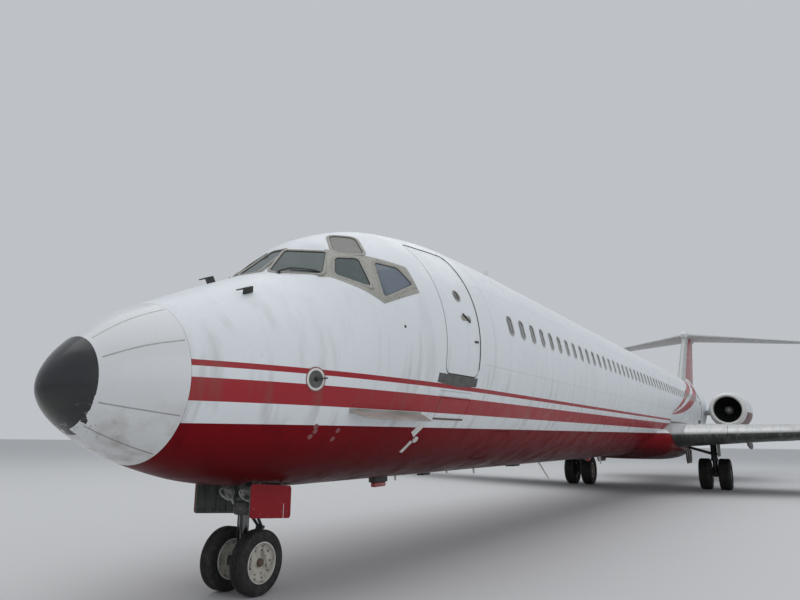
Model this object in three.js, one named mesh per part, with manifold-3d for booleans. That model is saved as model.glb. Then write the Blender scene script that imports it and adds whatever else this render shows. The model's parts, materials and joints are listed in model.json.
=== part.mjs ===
import * as THREE from "three";
import { mergeVertices } from "three/addons/utils/BufferGeometryUtils.js";
import Module from "manifold-3d";

// A narrow body airliner with two engines on its rear fuselage and a T tail, parked on its gear.
// Sizes are those of the real aircraft in millimetres, and the outer group makes the 1:2 model.
// x runs aft from the nose tip, y to starboard and z up from the ground under the nose wheels,
// square to the cabin floor. The outer group then sets the aircraft nose down as it parks.

const wasm = await Module();
wasm.setup();

const MODEL_SCALE = 1 / 2;
const SEAT_GAP = 0.6; // between pieces that touch
const RUNNING_GAP = 12; // round pieces that move
const OVERLAP = 10; // parts of one solid run into each other
const PAST = 50; // a cutting tool runs past what it cuts
const PARKED_TILT = THREE.MathUtils.degToRad(0.607); // nose down

// Fuselage
const HULL_SIDES = 32;
const HULL_END = 41300;
const RADOME_LENGTH = 890;
const TAIL_CONE_START = 39400;
const DOOR_THICKNESS = 90;

// Station, half width, crown height, belly height and height of the widest line
const HULL_TABLE = [
  [0, 12, 2042, 2018, 2030],
  [20, 90, 2130, 1930, 2030],
  [80, 190, 2240, 1840, 2040],
  [180, 310, 2370, 1740, 2055],
  [300, 410, 2487, 1650, 2069],
  [600, 620, 2720, 1480, 2100],
  [980, 810, 2900, 1334, 2117],
  [1600, 1040, 3180, 1175, 2178],
  [2300, 1230, 3490, 1095, 2293],
  [3100, 1400, 4100, 1066, 2583],
  [4200, 1560, 4470, 1066, 2790],
  [5600, 1645, 4620, 1066, 2900],
  [7500, 1671, 4639, 1066, 2968],
  [30500, 1671, 4639, 1066, 2968],
  [32500, 1610, 4639, 1240, 3020],
  [34500, 1440, 4630, 1690, 3180],
  [36500, 1170, 4580, 2240, 3400],
  [38500, 840, 4440, 2790, 3600],
  [40000, 510, 4240, 3200, 3710],
  [41000, 230, 3990, 3520, 3750],
  [HULL_END, 30, 3790, 3730, 3760],
];
const EXTRA_STATIONS = [1250, 2700, 3600, RADOME_LENGTH, 31500, TAIL_CONE_START];

// Cabin doors: side (-1 port), front edge, width, sill height, door height
const DOOR_TABLE = [
  ["door_front_left", -1, 4250, 864, 2430, 1780],
  ["door_front_right", 1, 4560, 690, 2430, 1220],
  ["door_aft_left", -1, 29100, 690, 2430, 1520],
];
const DOOR_CORNER = 110;

// Corners of the port cockpit panes as station, distance from the centre line, height
const PANE_THICKNESS = 45;
const PORT_PANES = {
  windshield: [[2350, 246, 3496], [2720, 145, 3816], [2888, 630, 3800], [2597, 821, 3418]],
  side_window_front: [[2870, 787, 3683], [3128, 937, 3725], [3034, 1197, 3325], [2718, 909, 3448]],
  side_window_rear: [[3305, 1053, 3693], [3634, 1179, 3690], [3742, 1334, 3477], [3180, 1291, 3228]],
  eyebrow_window: [[3268, 368, 4126], [3542, 587, 4157], [3255, 939, 3789], [2942, 713, 3790]],
};
const CENTRE_PANE = [[2270, 145, 3467], [2270, -145, 3467], [2775, -110, 3866], [2775, 110, 3866]];

// Wing
const WING = {
  rootSpan: 1100,
  sideSpan: 1650,
  kinkSpan: 4200,
  tipSpan: 16435,
  centreNose: 19640,
  sideHeight: 1710,
  centreChord: 7050,
  kinkChord: 4310,
  tipChord: 1100,
  noseSlope: Math.tan(THREE.MathUtils.degToRad(27.5)),
  dihedral: Math.tan(THREE.MathUtils.degToRad(2)),
  incidence: Math.sin(THREE.MathUtils.degToRad(1.5)),
  rootThickness: 0.138,
  tipThickness: 0.105,
  camber: 0.015,
};
const SLAT = { from: 2050, to: 15900, upper: 0.15, lower: 0.05 };
const FLAP_HINGE = 0.72;
const FLAPS = [["flap_inboard", 2080, 4170], ["flap_outboard", 4200, 11130]];
const AILERON = { from: 11200, to: 15300, hinge: FLAP_HINGE, endGap: 35, hinges: [0.15, 0.85] };

// Fairings over the flap hinges, below the wing: spans, then shares of the chord along each
const FLAP_PODS = { spans: [3750, 6200, 8600, 10700], from: 0.46, to: 1.03, drop: 70, sides: 10 };
// Share of a pod's length, half width, half height
const POD_TABLE = [
  [0, 8, 10],
  [0.2, 62, 105],
  [0.5, 85, 150],
  [0.8, 62, 110],
  [1, 8, 12],
];

// Belly fairing: station, half width, top height, belly height
const FAIRING_TABLE = [
  [18900, 900, 1800, 1250],
  [20300, 1700, 2080, 950],
  [22500, 1800, 2200, 870],
  [24600, 1700, 2100, 810],
  [26400, 1300, 1900, 870],
  [28600, 700, 1700, 1250],
];

// Doors of the wheel wells, which hang open below the belly fairing
const WELL_DOOR = { from: 23800, to: 25300, off: 1640, thick: 40, low: 700, high: 1180 };

// Tail: the fin is given by height, the tailplane by distance from the centre line
const FIN = { low: 4000, high: 7720, nose: [35300, 39420], chord: [5950, 3850], thickness: 0.1 };
const RUDDER = { from: 4680, to: 7330, hinge: 0.68, endGap: 65, hinges: [0.12, 0.88] };
const TAILPLANE = {
  half: 6120,
  height: 7850,
  tipHeight: 7560,
  nose: [39600, 43810],
  chord: [3500, 1250],
  thickness: 0.1,
};
const ELEVATOR = { from: 540, to: 5850, hinge: 0.7, endGap: 50, hinges: [0.12, 0.85] };
const BULLET_TABLE = [[38900, 20], [39150, 130], [39700, 225], [41000, 265], [42600, 220], [43400, 60]];

// A wing or tail tip closes down to this share of its thickness over a short length
const TIP = { share: 0.4, wing: 150, tailplane: 80 };

// Engines: profiles are distance aft of the intake lip and radius
const ENGINE = { nose: 30400, side: 2690, height: 2940, duct: 645, fanFace: 980, fanTip: 620 };
const LIP_LENGTH = 320;
const LIP_TABLE = [[60, 655], [0, 700], [40, 745], [150, 778]];
const NACELLE_TABLE = [[LIP_LENGTH, 800], [900, 860], [1900, 885], [3300, 870], [4700, 800], [5300, 755]];
const EXHAUST_TABLE = [[5300, 745], [5900, 690], [6900, 560]];
const EXHAUST_BORE = [[5300, 660], [6900, 500]];
const CORE = { front: 1230, rear: 5200, shaft: 70, shaftSides: 20 };
const FAN = { blades: 22, hub: 190, length: 190 };
const SPINNER_TABLE = [[-330, 0], [-220, 95], [-90, 160]];
const BLADE = { chord: 150, thick: 12, twist: THREE.MathUtils.degToRad(50), sunk: 15 };

// Pylon: distance from the centre line, front edge and chord at each end
const PYLON_TABLE = [[900, 31300, 5300], [2400, 31900, 4300]];
const PYLON_THICKNESS = 0.07;

// Landing gear: the wheel places give the tilt, so the main axle height is worked out
const NOSE_WHEEL = { x: 2420, side: 215, radius: 330, width: 168, rim: 200, sides: 20, axle: 34 };
const MAIN_WHEEL = { x: 24500, side: 335, radius: 565, width: 420, rim: 270, sides: 24, axle: 52 };
const MAIN_TRACK = 2540;
const noseAxle = NOSE_WHEEL.radius;
const radiusStep = MAIN_WHEEL.radius - NOSE_WHEEL.radius;
const wheelRise = (NOSE_WHEEL.x - MAIN_WHEEL.x) * Math.sin(PARKED_TILT) + radiusStep;
const mainAxle = noseAxle + wheelRise / Math.cos(PARKED_TILT);
const NOSE_BAY = { from: 2080, to: 2720, half: 370, low: 500, roof: 1720 };
const STEERING_COLLAR = { low: 800, high: 940, radius: 118 };
const NOSE_LEG = { casing: 98, spigot: 58, spigotTop: 1080, hub: 66, hubHalf: 95 };
const NOSE_BRACE = { foot: 1060, headX: 2150, headZ: 1420, radius: 42, headRadius: 50 };
const NOSE_LINKS = { top: 860, bottom: 420, bottomX: 20, apexX: 260, apexZ: 640, radius: 26 };
const TAXI_LIGHT = {
  side: 230,
  height: 870,
  front: -130,
  back: -20,
  radius: 70,
  armX: -60,
  armIn: 90,
  armRadius: 22,
};
const NOSE_DOOR = { gap: 12, thick: 30, low: 780, high: 1500, short: 20 };
const MAIN_POCKET = { half: 210, low: 900, roof: 1800 };
const MAIN_LEG = { casing: 125, slide: 84, slideTop: 800, hub: 96, hubHalf: 105 };
const MAIN_BRACE = { foot: 1050, headSide: 1500, headZ: 1350, radius: 55 };
const MAIN_LINKS = { top: 860, bottom: 400, bottomX: 30, apexX: 330, apexZ: 620, radius: 34 };
const MAIN_DOOR = { half: 450, low: 970, high: 1430, off: 165, thick: 25, posts: [1080, 1320], post: 30 };

// Flat pads for jacks under the nose and the wings, and the block that a tow bar takes
const JACK_PAD = { radius: 75, proud: 15, sunk: 100, noseStation: 3700, wingSpan: 3400, wingShare: 0.45 };
const TOW_BLOCK = { front: 2250, half: 50, low: 298, high: 362 };

// Colours as red, green, blue; then roughness and metalness
const finish = (colour, roughness, metalness = 0) =>
  new THREE.MeshStandardMaterial({ color: colour, roughness, metalness });
const FINISH = {
  white: finish(0xe6e7e4, 0.35),
  red: finish(0xb02a32, 0.4),
  grey: finish(0xb9bcbd, 0.4, 0.2),
  metal: finish(0xc9cacb, 0.25, 0.9),
  dark: finish(0x3a3b3d, 0.5, 0.5),
  gear: finish(0x4c4f52, 0.5, 0.4),
  hub: finish(0xd6d6d0, 0.5),
  tyre: finish(0x1b1b1c, 0.85),
  glass: finish(0x11161a, 0.08),
};

const point = (x, y, z) => new THREE.Vector3(x, y, z);

// Turns any closed geometry into a solid whose faces point out
function solidOf(geometry) {
  const plain = geometry.clone();
  plain.deleteAttribute("normal");
  plain.deleteAttribute("uv");
  const merged = mergeVertices(plain, 1e-2);
  const places = merged.attributes.position;
  const faces = Uint32Array.from(merged.index.array);
  const corner = [point(), point(), point()];
  let volume = 0;
  for (let i = 0; i < faces.length; i += 3) {
    corner.forEach((vertex, k) => vertex.fromBufferAttribute(places, faces[i + k]));
    volume += corner[0].dot(corner[1].clone().cross(corner[2]));
  }
  const turned = volume < 0 ? faces.reverse() : faces;
  const mesh = new wasm.Mesh({ numProp: 3, vertProperties: places.array, triVerts: turned });
  return new wasm.Manifold(mesh);
}

// Triangles that close a flat ring, in the ring's own direction
function capFaces(ring) {
  const normal = point(0, 0, 0);
  ring.forEach((corner, i) => normal.add(corner.clone().cross(ring[(i + 1) % ring.length])));
  const sizes = normal.toArray().map(Math.abs);
  const dropped = sizes.indexOf(Math.max(...sizes));
  const flat = ring.map((corner) => {
    const [u, v] = corner.toArray().filter((_, axis) => axis !== dropped);
    return new THREE.Vector2(u, v);
  });
  const area = THREE.ShapeUtils.area(flat);
  const faces = THREE.ShapeUtils.triangulateShape(flat, []);
  return faces.map((face) => {
    const sameWay = THREE.ShapeUtils.area(face.map((i) => flat[i])) * area > 0;
    return sameWay ? face : [...face].reverse();
  });
}

// Joins a row of rings, each with the same number of corners, into one closed solid
function loft(rings) {
  const count = rings[0].length;
  const last = (rings.length - 1) * count;
  const faces = [];
  for (let start = 0; start < last; start += count) {
    for (let i = 0; i < count; i++) {
      const a = start + i;
      const b = start + ((i + 1) % count);
      faces.push(a, b, a + count, b, b + count, a + count);
    }
  }
  for (const [a, b, c] of capFaces(rings[0])) faces.push(c, b, a);
  for (const [a, b, c] of capFaces(rings.at(-1))) faces.push(last + a, last + b, last + c);
  const geometry = new THREE.BufferGeometry().setFromPoints(rings.flat());
  return solidOf(geometry.setIndex(faces));
}

function block(x0, x1, y0, y1, z0, z1) {
  const geometry = new THREE.BoxGeometry(x1 - x0, Math.abs(y1 - y0), z1 - z0);
  return solidOf(geometry.translate((x0 + x1) / 2, (y0 + y1) / 2, (z0 + z1) / 2));
}

// Round bar from one point to another
function bar(from, to, radius, endRadius = radius, sides = 16) {
  const along = to.clone().sub(from);
  const geometry = new THREE.CylinderGeometry(endRadius, radius, along.length(), sides);
  const turn = new THREE.Quaternion().setFromUnitVectors(point(0, 1, 0), along.normalize());
  const middle = from.clone().add(to).multiplyScalar(0.5);
  return solidOf(geometry.applyQuaternion(turn).translate(...middle));
}

// Solid turned about a line along x or y from a profile of distance along it and radius;
// a profile that stays off the line is a ring and closes on itself
function turned(profile, centre, sides, axis = "x", phase = 0) {
  const closed = profile[0][1] > 0 ? [...profile, profile[0]] : profile;
  const outline = closed.map(([along, radius]) => new THREE.Vector2(radius, along));
  const geometry = new THREE.LatheGeometry(outline, sides).rotateY(phase);
  if (axis === "x") geometry.rotateZ(-Math.PI / 2);
  return solidOf(geometry.translate(...centre));
}

// Steady curve through the rows of a table, taken in the square root of the station
function smooth(table, station, column) {
  const root = (row) => Math.sqrt(row[0]);
  const i = Math.min(table.findLastIndex((row) => row[0] <= station), table.length - 2);
  const rise = (a) => (table[a + 1][column] - table[a][column]) / (root(table[a + 1]) - root(table[a]));
  const slope = (a) => {
    if (a === 0 || a === table.length - 1) return rise(Math.min(a, table.length - 2));
    const [before, after] = [rise(a - 1), rise(a)];
    return before * after <= 0 ? 0 : (2 * before * after) / (before + after);
  };
  const width = root(table[i + 1]) - root(table[i]);
  const t = (Math.sqrt(station) - root(table[i])) / width;
  const from = table[i][column];
  const to = table[i + 1][column];
  const hermite = (3 - 2 * t) * t * t;
  const bend = (slope(i) * (1 - t) - slope(i + 1) * t) * t * (1 - t) * width;
  return from + (to - from) * hermite + bend;
}

function hullRing(station, grow) {
  const [halfWidth, crown, belly, middle] = [1, 2, 3, 4].map((column) => smooth(HULL_TABLE, station, column));
  return Array.from({ length: HULL_SIDES }, (_, i) => {
    const angle = (i / HULL_SIDES) * 2 * Math.PI;
    const height = Math.sin(angle) > 0 ? crown - middle : middle - belly;
    const across = (halfWidth + grow) * Math.cos(angle);
    return point(station, across, middle + (height + grow) * Math.sin(angle));
  });
}

// The fuselage's outer form between two stations, thicker or thinner by grow
function hull(from, to, grow = 0) {
  const inside = (station) => station > from && station < to;
  const stations = [...HULL_TABLE.map((row) => row[0]), ...EXTRA_STATIONS].filter(inside);
  const ordered = [from, ...stations.sort((a, b) => a - b), to];
  return loft(ordered.map((station) => hullRing(station, grow)));
}

// Prism on the flat that fits the corners best, from depth below it to rise above it
function prism(corners, depth, rise, growth = 1) {
  const centre = point(0, 0, 0);
  corners.forEach((corner) => centre.addScaledVector(corner, 1 / corners.length));
  const normal = point(0, 0, 0);
  const arms = corners.map((corner) => corner.clone().sub(centre));
  arms.forEach((arm, i) => normal.add(arm.clone().cross(arms[(i + 1) % arms.length])));
  normal.normalize();
  if (normal.z < 0) normal.negate();
  const flat = arms.map((arm) => arm.addScaledVector(normal, -arm.dot(normal)).multiplyScalar(growth));
  const ringAt = (height) => flat.map((arm) => arm.clone().add(centre).addScaledVector(normal, height));
  return loft([ringAt(-depth), ringAt(rise)]);
}

const HULL = { whole: hull(0, HULL_END), grown: hull(0, HULL_END, SEAT_GAP) };

const aircraft = new THREE.Group();

function add(name, solid, material) {
  const mesh = solid.getMesh();
  const geometry = new THREE.BufferGeometry();
  geometry.setAttribute("position", new THREE.BufferAttribute(mesh.vertProperties, 3));
  geometry.setIndex(new THREE.BufferAttribute(mesh.triVerts, 1));
  geometry.computeVertexNormals();
  const piece = new THREE.Mesh(geometry, material);
  piece.name = name;
  aircraft.add(piece);
}

const SIDES = [["left", -1], ["right", 1]];

// Cockpit panes, flat, each let into the nose
const panes = SIDES.flatMap(([side, sign]) =>
  Object.entries(PORT_PANES).map(([name, corners]) => ({
    name: `${name}_${side}`,
    corners: corners.map(([x, y, z]) => point(x, sign * y, z)),
  })),
);
panes.push({ name: "windshield_centre", corners: CENTRE_PANE.map((corner) => point(...corner)) });

function cockpitPanes(fuselage) {
  const RECESS_RISE = 500;
  const RECESS_GROWTH = 1.008;
  for (const pane of panes) {
    add(pane.name, prism(pane.corners, PANE_THICKNESS, 0), FINISH.glass);
    const recess = prism(pane.corners, PANE_THICKNESS + SEAT_GAP, RECESS_RISE, RECESS_GROWTH);
    fuselage = fuselage.subtract(recess);
  }
  return fuselage;
}

// Door outline with round corners, as a prism across the fuselage side
function doorPrism(sign, front, width, sill, height, grow) {
  const [w, h, r] = [width / 2 + grow, height / 2 + grow, DOOR_CORNER + grow];
  const shape = new THREE.Shape();
  shape.absarc(w - r, h - r, r, 0, Math.PI / 2);
  shape.absarc(r - w, h - r, r, Math.PI / 2, Math.PI);
  shape.absarc(r - w, r - h, r, Math.PI, 1.5 * Math.PI);
  shape.absarc(w - r, r - h, r, 1.5 * Math.PI, 2 * Math.PI);
  const REACH = 2000;
  const geometry = new THREE.ExtrudeGeometry(shape, { depth: REACH, bevelEnabled: false, curveSegments: 3 });
  geometry.rotateX(Math.PI / 2);
  const start = sign > 0 ? REACH : 0;
  return solidOf(geometry.translate(front + width / 2, start, sill + height / 2));
}

function cabinDoors(fuselage) {
  const inner = hull(0, HULL_END, -DOOR_THICKNESS);
  const recessFloor = hull(0, HULL_END, -DOOR_THICKNESS - SEAT_GAP);
  for (const [name, sign, front, width, sill, height] of DOOR_TABLE) {
    const panel = doorPrism(sign, front, width, sill, height, 0).intersect(HULL.whole).subtract(inner);
    add(name, panel, FINISH.white);
    const recess = doorPrism(sign, front, width, sill, height, SEAT_GAP).subtract(recessFloor);
    fuselage = fuselage.subtract(recess);
  }
  return fuselage;
}

function fuselage() {
  let body = hull(RADOME_LENGTH + SEAT_GAP, TAIL_CONE_START);
  const bay = block(NOSE_BAY.from, NOSE_BAY.to, -NOSE_BAY.half, NOSE_BAY.half, NOSE_BAY.low, NOSE_BAY.roof);
  body = body.subtract(bay);
  body = cabinDoors(cockpitPanes(body));
  for (const [, sign] of SIDES) body = body.add(strake(sign));
  const belly = smooth(HULL_TABLE, JACK_PAD.noseStation, 3);
  const padAt = (z) => point(JACK_PAD.noseStation, 0, z);
  body = body.add(bar(padAt(belly + JACK_PAD.sunk), padAt(belly - JACK_PAD.proud), JACK_PAD.radius));
  add("fuselage", body, FINISH.white);
  add("radome", hull(0, RADOME_LENGTH), FINISH.white);
  add("tail_cone", hull(TAIL_CONE_START + SEAT_GAP, HULL_END), FINISH.red);
}

// Thin fin on the side of the nose, standing out from the skin
function strake(sign) {
  const STRAKE = { from: 2660, to: 4250, height: 1910, half: 9, root: 1000, tip: 1700 };
  const outline = [
    [STRAKE.from, STRAKE.root],
    [STRAKE.from, 1240],
    [3400, 1560],
    [STRAKE.to, STRAKE.tip],
    [STRAKE.to, STRAKE.root],
  ];
  const ringAt = (z) => outline.map(([x, y]) => point(x, sign * y, z));
  return loft([ringAt(STRAKE.height - STRAKE.half), ringAt(STRAKE.height + STRAKE.half)]);
}

// Half thickness of a foil at a share of its chord, as a share of the chord
function foilHalf(share, thickness) {
  const bulge = 0.2969 * Math.sqrt(share) - 0.126 * share - 0.3516 * share ** 2;
  return 5 * thickness * (bulge + 0.2843 * share ** 3 - 0.1015 * share ** 4) + 0.0005;
}

// Point on a foil station: side 1 on its upper or starboard skin, -1 below or port, 0 between
function foilPoint(station, share, side, lift = 0) {
  const { chord, nose, height, span, upright, sign } = station;
  const arch = 4 * share * (1 - share) * station.camber;
  const middle = height + chord * (arch - share * station.incidence);
  const off = side * (foilHalf(share, station.thickness) * chord + lift);
  const x = nose + share * chord;
  return upright ? point(x, middle + off, span) : point(x, sign * span, middle + off);
}

const SHARES = [0, 0.01, 0.05, 0.15, 0.35, 0.6, 0.8, 1];

function foilRing(station) {
  const upper = SHARES.map((share) => foilPoint(station, share, 1));
  const lower = SHARES.slice(1).map((share) => foilPoint(station, share, -1));
  return [...upper, ...lower.reverse()];
}

const hingeRadius = (station, hinge) => foilHalf(hinge, station.thickness) * station.chord;

// Point round the hinge of a station: angle 0 aft, 90 degrees up
function hingePoint(station, hinge, radius, degrees) {
  const angle = THREE.MathUtils.degToRad(degrees);
  const centre = foilPoint(station, hinge, 0);
  const [along, off] = [radius * Math.cos(angle), radius * Math.sin(angle)];
  return station.upright ? centre.add(point(along, off, 0)) : centre.add(point(along, 0, off));
}

// Section of a moving surface: round at its hinge, then the foil's skins to its rear edge
function surfaceRing(station, hinge) {
  const shares = [hinge, (1 + hinge) / 2, 1];
  const radius = hingeRadius(station, hinge);
  const upper = shares.map((share) => foilPoint(station, share, 1));
  const lower = shares.map((share) => foilPoint(station, share, -1)).reverse();
  const nose = [-125, -160, 160, 125].map((degrees) => hingePoint(station, hinge, radius, degrees));
  return [...upper, ...lower, ...nose];
}

// Section of the hollow that a surface sits in, open behind, above and below
function coveRing(station, hinge, gap) {
  const PAST = 60;
  const radius = hingeRadius(station, hinge);
  const lip = THREE.MathUtils.radToDeg(Math.asin(radius / (radius + gap)));
  const outside = (radius + gap) / Math.cos(THREE.MathUtils.degToRad(lip * 0.225));
  const turns = [0.9, 0.45, 0, -0.45, -0.9].map((part) => 180 - part * lip);
  const arc = turns.map((degrees) => hingePoint(station, hinge, outside, degrees));
  const lipShare = hinge - ((radius + gap) * Math.cos(THREE.MathUtils.degToRad(lip))) / station.chord;
  const [top, bottom] = [1, -1].map((side) => foilPoint(station, lipShare, side, 0));
  const [highTop, lowBottom] = [1, -1].map((side) => foilPoint(station, lipShare, side, PAST));
  const behind = 1 + PAST / station.chord;
  const [behindTop, behindBottom] = [1, -1].map((side) => foilPoint(station, behind, side, PAST));
  return [highTop, top, ...arc, bottom, lowBottom, behindBottom, behindTop];
}

// The last ring of a wing or tail, thinner than the rest
const tipRing = (station) => foilRing({ ...station, thickness: station.thickness * TIP.share });

// Wing stations at a distance from the centre line
function wingStation(span, sign) {
  const inboard = span < WING.kinkSpan;
  const past = (span - WING.kinkSpan) / (WING.tipSpan - WING.kinkSpan);
  const [from, to] = inboard ? [0, WING.kinkSpan] : [WING.kinkSpan, WING.tipSpan];
  const [chordFrom, chordTo] = inboard ? [WING.centreChord, WING.kinkChord] : [WING.kinkChord, WING.tipChord];
  return {
    span,
    sign,
    nose: WING.centreNose + span * WING.noseSlope,
    height: WING.sideHeight + (span - WING.sideSpan) * WING.dihedral,
    chord: THREE.MathUtils.mapLinear(span, from, to, chordFrom, chordTo),
    thickness: THREE.MathUtils.lerp(WING.rootThickness, WING.tipThickness, Math.max(past, 0)),
    camber: WING.camber,
    incidence: WING.incidence,
  };
}

function finStation(height) {
  const along = (pair) => THREE.MathUtils.mapLinear(height, FIN.low, FIN.high, ...pair);
  const [nose, chord] = [along(FIN.nose), along(FIN.chord)];
  const plain = { height: 0, camber: 0, incidence: 0, upright: true };
  return { ...plain, span: height, nose, chord, thickness: FIN.thickness };
}

function tailStation(span, sign) {
  const along = (pair) => THREE.MathUtils.mapLinear(span, 0, TAILPLANE.half, ...pair);
  const height = along([TAILPLANE.height, TAILPLANE.tipHeight]);
  const [nose, chord] = [along(TAILPLANE.nose), along(TAILPLANE.chord)];
  return { span, sign, nose, height, chord, thickness: TAILPLANE.thickness, camber: 0, incidence: 0 };
}

// Hinge of a moving surface: the fixed side has a lug with a hole, the moving side a slot and a pin
const LUG = { half: 14, pin: 14, wall: 20, sides: 10 };

function hingeSolids(stationAt, span, hinge) {
  const SLOT_SIDE_GAP = 18;
  const SLOT_DEPTH = 1.6;
  const at = stationAt(span);
  const lugEnds = [span - LUG.half, span + LUG.half].map(stationAt);
  const slotHalf = LUG.half + SLOT_SIDE_GAP;
  const slotEnds = [span - slotHalf, span + slotHalf].map(stationAt);
  const radius = hingeRadius(at, hinge);
  const pin = Math.min(LUG.pin, radius * 0.4);
  const eye = Math.min(pin + LUG.wall, radius * 0.75);
  const disc = (station, size) =>
    Array.from({ length: LUG.sides }, (_, i) => hingePoint(station, hinge, size, (i * 360) / LUG.sides));
  const eyeSolid = loft(lugEnds.map((station) => disc(station, eye)));
  const slot = loft(slotEnds.map((station) => disc(station, radius * SLOT_DEPTH)));
  const reach = radius + 2 * RUNNING_GAP;
  const arm = loft(
    lugEnds.map((station) => {
      const centre = foilPoint(station, hinge, 0);
      const up = (station.upright ? point(0, 1, 0) : point(0, 0, 1)).multiplyScalar(eye * 0.8);
      const forward = centre.clone().add(point(-reach, 0, 0));
      const [nearEnd, farEnd] = [centre, forward].map((end) => [end.clone().add(up), end.clone().sub(up)]);
      return [...nearEnd, ...farEnd.reverse()];
    }),
  );
  const [from, to] = slotEnds.map((station) => foilPoint(station, hinge, 0));
  const past = to.clone().sub(from).setLength(10);
  const bore = (pin + SEAT_GAP) / Math.cos(Math.PI / LUG.sides);
  const rod = (size) => bar(from.clone().sub(past), to.clone().add(past), size, size, LUG.sides);
  return { lug: eyeSolid.add(arm).subtract(rod(bore)), slot, pin: rod(pin) };
}

// Fits a moving surface between two spans into a fixed one, and gives both back
function fitSurface(fixed, stationAt, { from, to, hinge, hinges, endGap }) {
  const ends = [from - endGap, to + endGap];
  const cove = loft(ends.map((span) => coveRing(stationAt(span), hinge, RUNNING_GAP)));
  let surface = loft([from, to].map((span) => surfaceRing(stationAt(span), hinge)));
  let carrier = fixed.subtract(cove);
  for (const share of hinges) {
    const { lug, slot, pin } = hingeSolids(stationAt, THREE.MathUtils.lerp(from, to, share), hinge);
    carrier = carrier.add(lug);
    surface = surface.subtract(slot).add(pin);
  }
  return [carrier, surface];
}

function fairingRing([station, halfWidth, top, belly], grow) {
  const SIDES_ROUND = 28;
  const POWER = 2 / 3;
  const middle = (top + belly) / 2;
  return Array.from({ length: SIDES_ROUND }, (_, i) => {
    const angle = (i / SIDES_ROUND) * 2 * Math.PI;
    const round = (value) => Math.sign(value) * Math.abs(value) ** POWER;
    const across = (halfWidth + grow) * round(Math.cos(angle));
    return point(station, across, middle + ((top - belly) / 2 + grow) * round(Math.sin(angle)));
  });
}

// Fairing over a flap hinge, hung below the wing at one span
function flapPod(station, grow) {
  const depth = foilPoint(station, FLAP_PODS.from, 0).z - foilPoint(station, FLAP_PODS.from, -1).z;
  return loft(
    POD_TABLE.map(([share, halfWidth, halfHeight]) => {
      const along = THREE.MathUtils.lerp(FLAP_PODS.from, FLAP_PODS.to, share);
      const middle = foilPoint(station, along, 0).add(point(0, 0, -depth - FLAP_PODS.drop * share));
      return Array.from({ length: FLAP_PODS.sides }, (_, i) => {
        const angle = (i / FLAP_PODS.sides) * 2 * Math.PI;
        const [across, up] = [(halfWidth + grow) * Math.cos(angle), (halfHeight + grow) * Math.sin(angle)];
        return middle.clone().add(point(0, across, up));
      });
    }),
  );
}

function wings() {
  const door = WELL_DOOR;
  let fairing = loft(FAIRING_TABLE.map((row) => fairingRing(row, 0)));
  for (const [, sign] of SIDES) {
    const [near, far] = [sign * door.off, sign * (door.off + door.thick)];
    fairing = fairing.add(block(door.from, door.to, near, far, door.low, door.high));
  }
  add("wing_fairing", fairing.subtract(HULL.grown), FINISH.red);
  const filled = loft(FAIRING_TABLE.map((row) => fairingRing(row, SEAT_GAP)));
  for (const [side, sign] of SIDES) {
    const stationAt = (span) => wingStation(span, sign);
    const spans = [WING.rootSpan, WING.kinkSpan, WING.tipSpan - TIP.wing];
    let wing = loft([...spans.map((span) => foilRing(stationAt(span))), tipRing(stationAt(WING.tipSpan))]);
    const slat = wing.intersect(slatTool(stationAt, 0));
    wing = wing.subtract(slatTool(stationAt, SEAT_GAP));
    const podsAt = (grow) =>
      FLAP_PODS.spans.map((span) => flapPod(stationAt(span), grow)).reduce((all, pod) => all.add(pod));
    const taken = filled.add(podsAt(SEAT_GAP));
    for (const [name, from, to] of FLAPS) {
      const cove = loft([from, to].map((span) => coveRing(stationAt(span), FLAP_HINGE, SEAT_GAP)));
      const ends = [from + SEAT_GAP, to - SEAT_GAP];
      const flap = loft(ends.map((span) => surfaceRing(stationAt(span), FLAP_HINGE)));
      wing = wing.subtract(cove);
      add(`${name}_${side}`, flap.subtract(taken), FINISH.grey);
    }
    const [carrier, surface] = fitSurface(wing, stationAt, AILERON);
    const centre = sign * MAIN_TRACK;
    const { half, low, roof } = MAIN_POCKET;
    const { x } = MAIN_WHEEL;
    const pocket = block(x - half, x + half, centre - half, centre + half, low, roof);
    const pad = foilPoint(stationAt(JACK_PAD.wingSpan), JACK_PAD.wingShare, -1);
    const below = pad.clone().add(point(0, 0, -JACK_PAD.proud));
    const jackPad = bar(pad.add(point(0, 0, JACK_PAD.sunk)), below, JACK_PAD.radius);
    const trimmed = carrier.add(podsAt(0)).subtract(filled).subtract(HULL.grown).subtract(pocket);
    add(`wing_${side}`, trimmed.add(jackPad), FINISH.grey);
    add(`slat_${side}`, slat, FINISH.metal);
    add(`aileron_${side}`, surface, FINISH.grey);
  }
}

// Everything ahead of the slat's slanting rear edge
function slatTool(stationAt, grow) {
  const CLEAR = 60;
  const rings = [SLAT.from - grow, SLAT.to + grow].map((span) => {
    const station = stationAt(span);
    const top = foilPoint(station, SLAT.upper, 1, CLEAR).add(point(grow, 0, 0));
    const bottom = foilPoint(station, SLAT.lower, -1, CLEAR).add(point(grow, 0, 0));
    const ahead = point(-station.chord * SLAT.upper - CLEAR, 0, 0);
    return [top, bottom, bottom.clone().add(ahead), top.clone().add(ahead)];
  });
  return loft(rings);
}

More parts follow.
